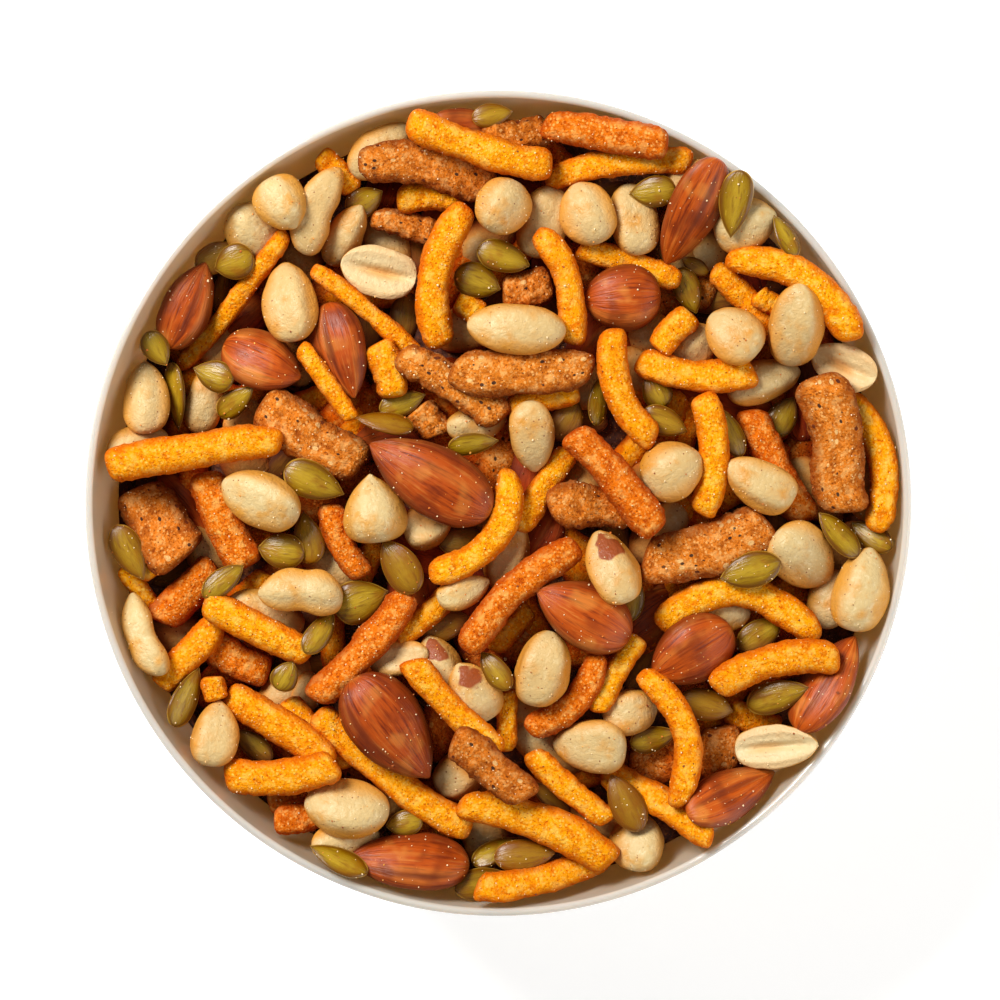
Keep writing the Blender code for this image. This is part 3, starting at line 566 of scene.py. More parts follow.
def stick_skin(skin, piece, rings, around, seed, style):
    """A crunchy stick: a rounded bar square to a bowed middle line, with round ends cut a little askew.

    Across and up are a squared circle of the stick's width and thickness times (1 - |t|^blunt)^(1/3);
    noise of the style's sizes then moves each point out along the section.
    """
    rng = np.random.default_rng(seed)
    t = np.sin(np.linspace(-math.pi / 2, math.pi / 2, rings + 2))[1:-1, None]
    angle = np.linspace(0.0, math.tau, around, endpoint=False)[None, :]
    w, r = (power(side(angle), 2.0 / style["square"]) * np.ones_like(t) for side in (np.cos, np.sin))
    blunt = np.where(t > 0, *(style["blunt"] * rng.uniform(0.5, 1.2, 2)))
    close = (1.0 - np.abs(t) ** blunt) ** (1 / 3)
    narrow = np.where(t > 0, *rng.uniform(0.0, 0.16, 2))
    wide = piece.width / 2 * (1.0 - narrow * np.abs(t) ** 5) * close
    thick = piece.thick / 2 * (1.0 - 0.22 * np.abs(t) ** 8) * close
    along = t * piece.length / 2 * np.ones_like(w)
    own = np.stack((along, w * wide, r * thick), axis=-1)
    shift = np.array((seed * 0.131, seed * 0.071, 0.0))
    swell = cloud(own * np.array((1.0, 0.35, 0.35)) + shift, SWELL_SIZE, seed)
    fine = layered(own + shift, style["grain_size"], seed + 5)
    grow = 1.0 + style["swell"] * swell
    out = style["grain"] * fine * close
    skew = np.where(t > 0, *rng.uniform(-style["askew"], style["askew"], 2)) * np.abs(t) ** 5
    line = along[:, :1, None] * np.array((1.0, 0.0, 0.0))
    v = w * wide * grow + np.cos(angle) * out
    h = r * thick * grow + np.sin(angle) * out
    lean = np.arctan(4.0 * piece.bow * t / piece.length)
    wander = style["wander"] * piece.width * cloud(line + shift, WANDER_SIZE, seed + 9)
    middle = piece.bow * (1.0 - t * t) + wander
    grid = placed(piece, along + (np.sin(lean) + skew) * v, v * np.cos(lean) + middle, h)
    ends = [placed(piece, side * piece.length / 2, middle[k, 0], 0.0) for side, k in ((-1.0, 0), (1.0, -1))]
    skin.add(grid, *ends, own=own / MM, tone=rng.random(), rim=fine,
             edge=np.maximum(np.abs(w), np.abs(t) ** 6))


def nut_ring(t, blunt, sharp):
    """Half width along a nut or seed, 1 at its widest: powers of the distances to its two ends."""
    ring = (1.0 + t) ** blunt * (1.0 - t) ** sharp
    best = (blunt - sharp) / (blunt + sharp)
    return ring / ((1.0 + best) ** blunt * (1.0 - best) ** sharp)


def nut_skin(skin, piece, rings, around, seed, style):
    """A nut or seed: squared ellipses strung along its length, pointed at the tip, with its own relief.

    Almonds get lengthwise wrinkles and some a crease, pepitas a raised rim round a lens, peanuts
    smooth dents, and some peanuts are split flat with a groove, hollow, tapered or waisted.
    """
    rng = np.random.default_rng(seed)
    t = -np.cos(np.linspace(0.0, math.pi, rings + 2))[1:-1, None]
    angle = np.linspace(0.0, math.tau, around, endpoint=False)[None, :]
    over = np.sin(angle) > 0
    peanut = piece.number if piece.kind == "peanut" else -1
    blunt, sharp = rng.uniform(*style["blunt"]), rng.uniform(*style["sharp"])
    bend = style["bend"] * rng.uniform(-1.0, 1.0)
    ring = nut_ring(t, blunt, CONE_SHARP if peanut in CONE_PEANUTS else sharp)
    if peanut in WAISTED_PEANUTS:
        ring = ring * (1.0 - 0.17 * np.exp(-((t + 0.05) / 0.32) ** 2))
        bend = 0.07 * np.sign(bend)
    w = power(np.cos(angle), style["square"]) * np.ones_like(t)
    r = power(np.sin(angle), style["lens"]) * np.ones_like(t)
    u, v, h = t * piece.length / 2 * np.ones_like(w), w * ring * piece.width / 2, r * ring * piece.thick / 2
    own = np.stack((u, v, h), axis=-1)
    shift = np.array((seed * 0.173, seed * 0.091, 0.0))
    edge, rim, mark = np.abs(w), np.zeros_like(w), np.zeros_like(w)
    out = style["dent"] * layered(own + shift, style["dent_size"], seed, 2)
    sides, turn = rng.integers(3, 6), rng.uniform(0.0, math.tau)
    out = out + style["facet"] * piece.width * np.cos(sides * angle + turn) * ring
    if peanut >= 0 and peanut % 2 == 0:
        out = out - SEAM_DEPTH * np.exp(-((w - rng.uniform(-0.5, 0.5)) / 0.11) ** 2) * (1.0 - t ** 4) * over
    if piece.kind == "almond":
        lines = np.stack((u / 14.0, w * piece.width / 2, r * piece.thick / 2), axis=-1)
        rim = layered(lines + shift, 1.5 * MM, seed + 3)
        out = out + style["wrinkle"] * rim * ring
        if piece.number in CREASED_ALMONDS:
            mark = np.exp(-((w - CREASED_ALMONDS[piece.number]) / 0.15) ** 2) * (1.0 - t ** 4) * over
            out = out - CREASE_DEPTH * mark * ring
    if piece.kind == "pepita":
        rim = np.sqrt(np.clip(edge ** 2 + t ** 6 * 0.8, 0.0, 1.0))
        h = h + np.sign(np.sin(angle)) * PEPITA_RIM * np.exp(-((rim - 0.86) / 0.1) ** 2) * ring
    grow = 1.0 + out / (piece.width / 2)
    v, h = v * grow, h * grow
    if peanut in SPLIT_PEANUTS:
        flat = 0.1 * piece.thick
        face = h > flat
        groove = 0.24 * piece.thick * np.exp(-((v / piece.width) / 0.09) ** 2) * (1.0 - t * t)
        lip = 0.08 * piece.thick * np.exp(-((edge - 0.75) / 0.2) ** 2)
        h = np.where(face, flat + 0.1 * (h - flat) - groove + lip * (1.0 - t ** 4), h)
        mark = np.where(face, 1.0, 0.0)
    if peanut in HOLLOW_PEANUTS:
        dish = np.exp(-((u / piece.length) ** 2 * 9.0 + (v / piece.width - 0.12) ** 2 * 14.0))
        h = np.where(h > 0.0, h - 0.42 * piece.thick * dish, h)
        mark = np.where(h > 0.0, dish, 0.0)
    if peanut in SKINNED_PEANUTS:
        spot = np.exp(-((t - 0.5) / 0.33) ** 2 - ((w + 0.2) / 0.55) ** 2) * over
        scrap = spot * 1.4 + 0.45 * cloud(own + shift, 1.2 * MM, seed + 7)
        mark = mark - np.clip(scrap, 0.0, 1.0) * (spot > 0.15)
    v = v + bend * piece.length * (1.0 - t * t)
    u = u + style["nib"] * np.exp(-((1.0 - t) / 0.04) ** 2)
    ends = [placed(piece, end, 0.0, 0.0) for end in (-piece.length / 2, piece.length / 2 + style["nib"])]
    drawn = np.stack((u, w * piece.width / 2, r * piece.thick / 2), axis=-1)
    skin.add(placed(piece, u, v, h), *ends, own=own / MM, drawn=drawn / MM, tone=rng.random(), rim=rim,
             edge=edge, mark=mark)


def bowl_profile():
    """Half section of the bowl from under its middle round to its inside floor, as radius and height.

    The body and the inside are arcs of ellipses, the lip a half circle, the foot a ring with
    rounded edges. Second comes how much painted warm shade each point has, growing down the inside.
    """
    foot = np.array(((12.0, 2.0), (22.0, 2.0), (29.2, 2.0), (30.3, 1.8), (30.9, 1.0), (31.3, 0.3),
                     (32.0, 0.0), (33.5, 0.0), (35.0, 0.0), (35.7, 0.25), (36.05, 0.8), (36.2, 1.6),
                     (36.5, 2.5))) * MM
    turn = np.linspace(math.radians(6.0), SWEEP, 40)
    radius = BODY_START_RADIUS + (BOWL_RADIUS - BODY_START_RADIUS) * np.sin(turn) / math.sin(SWEEP)
    rise = (1.0 - np.cos(turn)) / (1.0 - math.cos(SWEEP))
    body = np.stack((radius, BODY_START_HEIGHT + (LIP_HEIGHT - BODY_START_HEIGHT) * rise), axis=-1)
    turn = np.linspace(0.0, math.pi, 14)[1:-1]
    lip = np.stack((BOWL_RADIUS - LIP / 2 + LIP / 2 * np.cos(turn),
                    LIP_HEIGHT + LIP / 2 * np.sin(turn)), axis=-1)
    share = np.linspace(1.0, 0.0, 44) ** 1.4
    height = FLOOR_HEIGHT + (LIP_HEIGHT - FLOOR_HEIGHT) * share
    inside = np.stack((sweep_radius(height), height), axis=-1)
    floor = np.array(((20.0, 6.5), (10.0, 6.5))) * MM
    # Painted warm shade: some on the lip's inner half, growing to full a few millimetres down the inside
    on_lip = LIP_SHADE_SHARE * np.clip(turn / math.pi * 2.0 - 1.0, 0.0, 1.0)
    down = LIP_SHADE_SHARE + (1.0 - LIP_SHADE_SHARE) * np.clip((LIP_HEIGHT - height) / WALL_SHADE_DEPTH, 0.0, 1.0)
    wall_shade = np.concatenate((np.zeros(len(foot) + len(body)), on_lip, down, np.ones(len(floor))))
    return np.concatenate((foot, body, lip, inside, floor)), wall_shade


def turned(profile, around):
    """A half section turned about the Z axis: (radius cos a, radius sin a, height) for each angle a."""
    angle = np.linspace(0.0, math.tau, around, endpoint=False)
    radius, height = profile[:, 0, None], profile[:, 1, None] * np.ones(around)
    return np.stack((radius * np.cos(angle), radius * np.sin(angle), height), axis=-1)


def read_field(field, x, y):
    """Values of a plan field at places, each blended linearly from its four nearest cells."""
    i, j = (x + FIELD_HALF) / CELL, (y + FIELD_HALF) / CELL
    i0, j0 = np.floor(i).astype(int), np.floor(j).astype(int)
    a, b = i - i0, j - j0
    return (field[i0, j0] * (1 - a) * (1 - b) + field[i0 + 1, j0] * a * (1 - b)
            + field[i0, j0 + 1] * (1 - a) * b + field[i0 + 1, j0 + 1] * a * b)


def softened(field, passes):
    """A plan field averaged with its four neighbours that many times."""
    for _ in range(passes):
        field = (field + np.roll(field, 1, 0) + np.roll(field, -1, 0)
                 + np.roll(field, 1, 1) + np.roll(field, -1, 1)) / 5.0
    return field


def core_grid(around, depth):
    """The dark core under the pieces, which stands for the shade deep in the heap: along the bowl's floor,
    up its wall, and back over a lumpy top.

    The top is the crown less the depth, with coarse and fine lumps of noise added.
    """
    angle = np.linspace(0.0, math.tau, around, endpoint=False)[None, :]
    share = np.linspace(0.04, 1.0, 80)[:, None]
    x, y = BED_REACH * share * np.cos(angle), BED_REACH * share * np.sin(angle)
    top = crown(x, y) - depth
    spots = np.stack((x, y, top), axis=-1)
    lumps = cloud(spots, COARSE_LUMPS[0], 41) * COARSE_LUMPS[1]
    lumps = lumps + layered(spots, FINE_LUMPS[0], 57, 2) * FINE_LUMPS[1]
    top = np.maximum(top + lumps, sweep_height(np.hypot(x, y)) + 0.4 * MM)
    top_grid = inside_bowl(np.stack((x, y, top), axis=-1))
    rim = top_grid[-1]
    rise = np.linspace(0.0, 1.0, 16)[:, None]
    height = FLOOR_HEIGHT + SKIN_GAP + (rim[None, :, 2] - FLOOR_HEIGHT - SKIN_GAP) * rise ** 2
    radius = np.minimum(sweep_radius(height) - SKIN_GAP, np.hypot(rim[:, 0], rim[:, 1])[None, :])
    wall_grid = np.stack((radius * np.cos(angle), radius * np.sin(angle), height), axis=-1)
    floor_share = np.array((0.35, 0.7))[:, None]
    floor_grid = np.stack((floor_share * wall_grid[0, :, 0], floor_share * wall_grid[0, :, 1],
                           np.full((2, around), FLOOR_HEIGHT + SKIN_GAP)), axis=-1)
    return np.concatenate((floor_grid, wall_grid[:-1], top_grid[::-1]))


def crystals(places, sizes, seed):
    """Tiny blocks at places: eight corners each, turned and squashed at random, as points and faces."""
    rng = np.random.default_rng(seed)
    count = len(places)
    corner = np.array([(x, y, z) for x in (-1, 1) for y in (-1, 1) for z in (-1, 1)], dtype=float) / 2
    block = corner[None] * rng.uniform(0.6, 1.0, (count, 1, 3)) + rng.uniform(-0.08, 0.08, (count, 8, 3))
    turn, _ = np.linalg.qr(rng.normal(size=(count, 3, 3)))
    turn = turn * np.sign(np.linalg.det(turn))[:, None, None]
    points = np.einsum("nij,nkj->nki", turn, block * sizes[:, None, None]) + places[:, None, :]
    face = np.array(((0, 1, 3, 2), (4, 6, 7, 5), (0, 4, 5, 1), (2, 3, 7, 6), (0, 2, 6, 4), (1, 5, 7, 3)))
    faces = (face[None] + 8 * np.arange(count)[:, None, None]).reshape(-1, 4)
    tone = np.repeat(rng.random(count), 8)
    return points.reshape(-1, 3), faces, tone


# Materials


def colour(red, green, blue):
    """Linear colour from screen values of 0 to 255."""
    screen = np.array((red, green, blue)) / 255.0
    linear = np.where(screen <= 0.04045, screen / 12.92, ((screen + 0.055) / 1.055) ** 2.4)
    return tuple(float(part) for part in linear)


WHITE = (1.0, 1.0, 1.0)


class Value:
    """A shader socket that takes part in sums; each operator adds one Math node."""

    def __init__(self, paint, socket):
        self.paint, self.socket = paint, socket

    def math(self, operation, other):
        """One Math node on this value and another."""
        return self.paint.node("ShaderNodeMath", {"operation": operation}, {0: self, 1: other})

    def __add__(self, other):
        return self.math("ADD", other)

    def __mul__(self, other):
        return self.math("MULTIPLY", other)

    __radd__, __rmul__ = __add__, __mul__

    def step(self, low, high):
        """0 below low, 1 above high and a smooth rise between; the other way round if low is above high."""
        ranges = {"Value": self, "From Min": low, "From Max": high, "To Min": 0.0, "To Max": 1.0}
        return self.paint.node("ShaderNodeMapRange", {"interpolation_type": "SMOOTHSTEP"}, ranges)


class Paint:
    """One material under construction: nodes, patterns in millimetres, and the shader at its end."""

    def __init__(self, name):
        self.material = bpy.data.materials.new(name)
        self.material.use_nodes = True
        self.tree = self.material.node_tree
        self.tree.nodes.clear()

    def node(self, kind, settings=None, sockets=None, out=0):
        """A node of that type: its settings, then its sockets' values or links; gives one output."""
        made = self.tree.nodes.new(kind)
        for key, value in (settings or {}).items():
            setattr(made, key, value)
        for key, value in (sockets or {}).items():
            if isinstance(value, Value):
                self.tree.links.new(value.socket, made.inputs[key])
            else:
                made.inputs[key].default_value = value
        return Value(self, made.outputs[out]) if made.outputs else None

    def stored(self, name, out="Fac"):
        """A number or, as a vector, a place in millimetres, stored on the points."""
        return self.node("ShaderNodeAttribute", {"attribute_name": name}, out=out)

    def stretched(self, vector, scale, shift):
        """Coordinates scaled on each axis and moved by the piece's tone, so no two pieces match."""
        moved = self.node("ShaderNodeVectorMath", {"operation": "MULTIPLY"}, {0: vector, 1: scale})
        jump = self.node("ShaderNodeCombineXYZ", None, {0: shift * 91.0, 1: shift * 37.0, 2: shift * 53.0})
        return self.node("ShaderNodeVectorMath", {"operation": "ADD"}, {0: moved, 1: jump})

    def skin_place(self):
        """The piece's own random number, and its own coordinates moved by it."""
        tone = self.stored("tone")
        return tone, self.stretched(self.stored("own", "Vector"), (1.0, 1.0, 1.0), tone)

    def noise(self, vector, scale, detail=2.0, rough=0.5):
        """Noise from 0 to 1 with so many features to the unit."""
        return self.node("ShaderNodeTexNoise", {"noise_dimensions": "3D"},
                         {"Vector": vector, "Scale": scale, "Detail": detail, "Roughness": rough})

    def cells(self, vector, scale):
        """Distance to the nearest of scattered points, and that point's own random number."""
        near = self.node("ShaderNodeTexVoronoi", {"feature": "F1"}, {"Vector": vector, "Scale": scale},
                         "Distance")
        shade = Value(self, near.socket.node.outputs["Color"])
        return near, self.node("ShaderNodeSeparateColor", None, {0: shade})

    def mix(self, kind, share, first, second):
        """Two colours mixed in that kind of way, by a share from 0 to 1."""
        first, second = (part if isinstance(part, Value) else (*part, 1.0) for part in (first, second))
        return self.node("ShaderNodeMix", {"data_type": "RGBA", "blend_type": kind},
                         {0: share, 6: first, 7: second}, out=2)

    def blend(self, share, first, second):
        """The first colour turning into the second as the share goes from 0 to 1."""
        return self.mix("MIX", share, first, second)

    def times(self, first, second):
        """Two colours multiplied."""
        return self.mix("MULTIPLY", 1.0, first, second)

    def coats(self, skin, *coats):
        """Coats of colour laid over a skin one after another, each as thick as its share."""
        for share, shade in coats:
            skin = self.blend(share, skin, shade)
        return skin

    def toned_and_shaded(self, skin, tone, least, most):
        """A skin made lighter or darker piece by piece, and given painted shade, browner and darker, where
        it lies deep in the heap.
        """
        skin = self.times(skin, self.blend(tone, least, most))
        sunk = self.stored("sunk")
        # Painted shade: warm first, then dark brown, the deeper a point lies under the heap's top
        for low, high, tint in ((0.05, 0.5, (1.0, 0.68, 0.38)), (0.3, 1.0, (0.42, 0.22, 0.12))):
            skin = self.times(skin, self.blend(sunk.step(low, high), WHITE, tint))
        return skin

    def dulled(self, roughness):
        """A roughness that rises where a piece lies deep, so that no sheen of the sky shows down there."""
        return roughness + self.stored("sunk").step(0.1, 0.5) * 0.6

    def bump(self, height, depth):
        """Bumps as deep as that in metres where the height goes from 0 to 1."""
        return self.node("ShaderNodeBump", None, {"Height": height, "Distance": depth, "Strength": 1.0})

    def finish(self, colour_value, roughness, normal=None, **plain):
        """The Principled shader with varying colour, roughness and normal, and plain values set on it."""
        sockets = {"Base Color": colour_value, "Roughness": roughness}
        if normal is not None:
            sockets["Normal"] = normal
        for key, value in plain.items():
            sockets[key.replace("_", " ").title().replace("Ior", "IOR")] = value
        shader = self.node("ShaderNodeBsdfPrincipled", None, sockets)
        self.node("ShaderNodeOutputMaterial", None, {"Surface": shader})
        return self.material


def glaze_paint(glaze, roughness):
    """White glaze: faint clouding, pinholes and waves, and bare clay under the foot ring.

    A warm painted shade, standing for the wall's shade and the heap's warm bounce light, grows down the
    inside.
    """
    paint = Paint("glaze")
    place = paint.node("ShaderNodeTexCoord", None, out="Object")
    depth = paint.node("ShaderNodeSeparateXYZ", None, {0: place}, out="Z")
    clouds = paint.noise(place, 60.0, 3.0)
    specks = paint.noise(place, 900.0, 1.0).step(0.76, 0.82)
    warm = tuple(part * share for part, share in zip(glaze, (0.985, 0.96, 0.92)))
    skin = paint.coats(glaze, (clouds.step(0.35, 0.75) * 0.6, warm), (specks * 0.12, colour(170, 150, 125)))
    grit = paint.noise(place, 1500.0, 2.0)
    clay = paint.blend(grit.step(0.4, 0.7), colour(222, 208, 186), colour(190, 172, 146))
    # Painted warm shade down the inside, mottled by the clouding
    wall_shade = paint.stored("sunk") * (0.7 + clouds * 0.6)
    skin = paint.times(skin, paint.blend(wall_shade.step(0.0, 1.0), WHITE, (1.0, 0.87, 0.73)))
    bare = depth.step(0.0007, 0.0003)
    waves = paint.noise(place, 35.0, 1.0) + paint.noise(place, 260.0, 1.0) * 0.08
    rough = roughness + clouds * 0.05 + specks * 0.15 + bare * 0.6
    return paint.finish(paint.blend(bare, skin, clay), rough, paint.bump(waves, 0.0004), coat_weight=0.3,
                        coat_roughness=0.06, subsurface_weight=0.65, subsurface_scale=1.0,
                        subsurface_radius=(0.007, 0.005, 0.0035))


def stick_paint(body, pale, dark, name, seeds, rough):
    """Crunchy fried crust: pale crisp grains on the body colour, toasted specks and patches, and painted
    shade in the grain's hollows and on the sides and ends.

    With seeds, black poppy specks and pale sesame bits lie in the crust as well.
    """
    paint = Paint(name)
    tone, place = paint.skin_place()
    patches = paint.noise(place, 0.5, 2.0, 0.6)
    speckle = paint.noise(place, 2.1, 3.0, 0.7)
    near, number = paint.cells(place, 1.35)
    skin = paint.coats(
        dark, (speckle.step(0.3, 0.47), body),
        (patches.step(0.5, 0.7) * 0.5, dark), (patches.step(0.48, 0.34) * 0.55, pale),
        # Painted shade: the grain's hollows darken towards the dark colour; then pale grains
        (paint.stored("rim").step(-0.1, -0.9) * 0.3, dark), (speckle.step(0.52, 0.68) * 0.55, pale),
        (near.step(0.4, 0.2) * number.step(0.3, 0.5) * 0.75, pale),
        (near.step(0.22, 0.14) * number.step(0.09, 0.07) * 0.85, colour(110, 40, 8)))
    if seeds:
        near, number = paint.cells(paint.stretched(place, (0.7, 1.0, 1.0), tone), 0.8)
        skin = paint.coats(
            skin, (near.step(0.36, 0.28) * number.step(0.86, 0.88) * 0.75, colour(244, 206, 138)),
            (near.step(0.26, 0.2) * number.step(0.3, 0.28) * 0.92, colour(44, 34, 34)))
    # Painted shade: the sides and ends of each stick darken towards the dark colour
    skin = paint.blend(paint.stored("edge").step(0.4, 1.0) * 0.75, skin, dark)
    skin = paint.toned_and_shaded(skin, tone, (0.94, 0.84, 0.8), WHITE)
    return paint.finish(skin, paint.dulled(rough + patches * 0.25), paint.bump(speckle, 0.00055),
                        specular_ior_level=0.06)


def almond_paint(body, pale, dark):
    """Roasted almond skin: fine lengthwise threads from brown to amber, and purple-brown sides, which are
    painted shade.
    """
    paint = Paint("almond_skin")
    tone, place = paint.skin_place()
    wrinkle = paint.stored("rim")
    drawn = paint.stretched(paint.stored("drawn", "Vector"), (0.1, 1.0, 1.0), tone)
    threads = paint.noise(drawn, 1.5, 3.0, 0.65)
    patches = paint.noise(place, 0.18, 2.0)
    plum = colour(98, 38, 16)
    skin = paint.coats(
        dark, (threads.step(0.28, 0.52), body), (threads.step(0.55, 0.75) * 0.45, pale),
        # Painted highlight on the wrinkles' ridges and painted shade in their grooves
        (wrinkle.step(0.1, 1.0) * 0.3, pale), (wrinkle.step(-0.3, -1.0) * 0.25, dark),
        (patches.step(0.5, 0.68) * 0.6, dark), (patches.step(0.45, 0.3) * 0.4, pale),
        # Painted shade: purple-brown on the sides and in the crease
        (paint.stored("edge").step(0.5, 1.0) * 0.65, plum),
        (paint.stored("mark").step(0.2, 0.9) * 0.7, plum))
    skin = paint.toned_and_shaded(skin, tone, (0.78, 0.68, 0.68), (1.06, 1.04, 1.0))
    return paint.finish(skin, paint.dulled(0.28 + threads * 0.2), paint.bump(threads, 0.0002),
                        specular_ior_level=0.24)


def peanut_paint(body, stain_and_shade, dark):
    """Roasted peanut: cream, seasoning stains, golden sides of seasoning and painted warm shade, pinprick
    specks, skin scraps.
    """
    paint = Paint("peanut_flesh")
    tone, place = paint.skin_place()
    face = paint.stored("mark")
    patches = paint.noise(place, 0.22, 2.0, 0.55)
    soft = paint.noise(place, 0.9, 3.0, 0.65)
    near, number = paint.cells(place, 1.1)
    skin = paint.coats(
        body, (patches.step(0.48, 0.78) * 0.8, stain_and_shade), (soft.step(0.55, 0.78) * 0.4, stain_and_shade),
        (soft.step(0.48, 0.3) * 0.4, colour(232, 216, 172)),
        # Golden sides: partly seasoning, partly painted warm shade
        (paint.stored("edge").step(0.4, 0.98) * 0.85, stain_and_shade),
        (near.step(0.2, 0.1) * number.step(0.24, 0.2) * 0.85, colour(124, 52, 16)),
        (face.step(0.0, 1.0) * 0.55, colour(226, 210, 168)), ((face * -1.0).step(0.3, 0.6) * 0.9, dark))
    skin = paint.toned_and_shaded(skin, tone, (0.95, 0.86, 0.76), WHITE)
    return paint.finish(skin, paint.dulled(0.26 + soft * 0.24), paint.bump(soft, 0.00034),
                        specular_ior_level=0.24)


def pepita_paint(body, pale, dark):
    """Roasted pumpkin seed: olive gold, fine lengthwise streaks, painted highlight in the middle, painted
    shade towards a thin pale rim.
    """
    paint = Paint("pepita_skin")
    tone, place = paint.skin_place()
    rim = paint.stored("rim")
    drawn = paint.stretched(paint.stored("drawn", "Vector"), (0.2, 1.0, 1.0), tone)
    streaks = paint.noise(drawn, 1.6, 3.0, 0.6)
    skin = paint.coats(
        # Painted highlight: the body turns paler towards the middle of the seed
        body, (rim.step(0.75, 0.0) * 0.6, pale), (streaks.step(0.48, 0.7) * 0.55, dark),
        (streaks.step(0.42, 0.28) * 0.5, pale),
        (paint.noise(place, 0.3, 2.0).step(0.5, 0.72) * 0.5, colour(140, 78, 2)),
        # Painted shade darker towards the rim, then the thin pale rim itself
        (rim.step(0.6, 0.86) * 0.7, dark), (rim.step(0.93, 0.99) * 0.6, colour(196, 156, 60)),
        (tone.step(0.55, 0.9) * 0.5, colour(136, 76, 4)))
    skin = paint.toned_and_shaded(skin, tone, WHITE, (0.9, 0.84, 0.84))
    return paint.finish(skin, paint.dulled(0.18 + streaks * 0.2), paint.bump(streaks, 0.00014),
                        specular_ior_level=0.36)


def core_shade_paint():
    """The core under the pieces: a dark brown painted as the shade deep in the heap, with scattered lighter
    flecks.
    """
    paint = Paint("crumb_bed")
    place = paint.node("ShaderNodeTexCoord", None, out="Object")
    lumps = paint.noise(place, 700.0, 3.0)
    # Painted shade: the dark brown stands for the shade deep in the heap, flecked lighter
    skin = paint.coats(colour(74, 28, 6), (lumps.step(0.4, 0.7), colour(132, 62, 16)),
                       (paint.noise(place, 2200.0, 1.0).step(0.66, 0.74), colour(170, 104, 34)))
    return paint.finish(skin, 0.7 + lumps * 0.2, paint.bump(lumps, 0.0008))


def salt_paint():
    """Salt: white and slightly clear, a little warm where it has taken up oil."""
    paint = Paint("salt")
    tone = paint.stored("tone")
    skin = paint.blend(tone.step(0.75, 0.95), colour(250, 226, 180), colour(240, 190, 110))
    return paint.finish(skin, 0.3 + tone * 0.3, specular_ior_level=0.4)


def loose_paint():
    """Loose crumbs: each its own shade from pale gold to toasted brown."""
    paint = Paint("loose_crumbs")
    tone = paint.stored("tone")
    skin = paint.coats(colour(245, 180, 80), (tone.step(0.0, 0.5), colour(220, 120, 35)),
                       (tone.step(0.5, 1.0), colour(130, 60, 25)))
    place = paint.node("ShaderNodeTexCoord", None, out="Object")
    return paint.finish(skin, 0.6 + paint.noise(place, 3000.0) * 0.2)


def floor_paint(shade):
    """Matt pale board with the faintest mottle."""
    paint = Paint("floor")
    place = paint.node("ShaderNodeTexCoord", None, out="Object")
    mottle = paint.noise(place, 8.0, 3.0)
    skin = paint.blend(mottle * 0.3, shade, tuple(part * 0.985 for part in shade))
    return paint.finish(skin, 0.9 + mottle * 0.05, specular_ior_level=0.1,
                        emission_color=(1.0, 1.0, 1.0, 1.0), emission_strength=0.42)


# Settings shown to a user


def colour_setting(name, description, *screen):
    """A colour setting, its default given in screen values."""
    return bpy.props.FloatVectorProperty(name=name, description=description, subtype="COLOR", size=3,
                                         min=0.0, max=1.0, default=colour(*screen))


def length_setting(name, description, default):
    """A length setting in metres."""
    return bpy.props.FloatProperty(name=name, description=description, subtype="DISTANCE", unit="LENGTH",
                                   default=default)


class TrailMixBowl(bpy.types.PropertyGroup):
    """Sizes and colours of the bowl."""

    glaze: colour_setting("Glaze", "Colour of the bowl's glaze", 186, 183, 178)
    roughness: bpy.props.FloatProperty(name="Glaze Roughness", description="How dull the glaze is",
                                       subtype="FACTOR", min=0.0, max=1.0, default=0.1)
    around: bpy.props.IntProperty(name="Steps Around", description="Steps in one turn of the bowl",
                                  min=48, max=512, default=224)


class TrailMixHeap(bpy.types.PropertyGroup):
    """Sizes and colours of the nuts, seeds and sticks."""

    seed: bpy.props.IntProperty(name="Seed", description="Number that the uneven details are drawn from",
                                default=11)
    grain: length_setting("Stick Grain", "Depth of the sticks' grainy crust", 0.18 * MM)
    wrinkle: length_setting("Almond Wrinkle", "Depth of the almonds' wrinkles", 0.11 * MM)
    bed_depth: length_setting("Bed Depth", "How far the dark shaded core lies under the top", 13.0 * MM)
    salt_count: bpy.props.IntProperty(name="Salt Grains", description="Number of salt grains", min=0,
                                      default=2200)
    salt_size: length_setting("Salt Size", "Width of a middling salt grain", 0.15 * MM)
    corn: colour_setting("Corn Stick", "Colour of the corn sticks", 255, 168, 0)
    chilli: colour_setting("Chilli Stick", "Colour of the chilli sticks", 232, 120, 8)
    sesame: colour_setting("Sesame Stick", "Colour of the sesame sticks", 222, 126, 32)
    almond: colour_setting("Almond Skin", "Colour of the almonds' skin", 180, 78, 12)
    peanut: colour_setting("Peanut", "Colour of the peanuts", 208, 182, 128)
    pepita: colour_setting("Pumpkin Seed", "Colour of the pumpkin seeds", 136, 102, 0)


class TrailMixStage(bpy.types.PropertyGroup):
    """The floor, the light and the camera."""

    floor: colour_setting("Floor", "Colour of the floor", 250, 250, 250)
    eye: length_setting("Eye Height", "Height of the camera over the bowl's rim", EYE_HEIGHT)
    key: bpy.props.FloatProperty(name="Key Light", description="Power of the main light", subtype="POWER",
                                 unit="POWER", default=10.1)
    sky: bpy.props.FloatProperty(name="Sky", description="Strength of the light from all round", min=0.0,
                                 default=0.24)


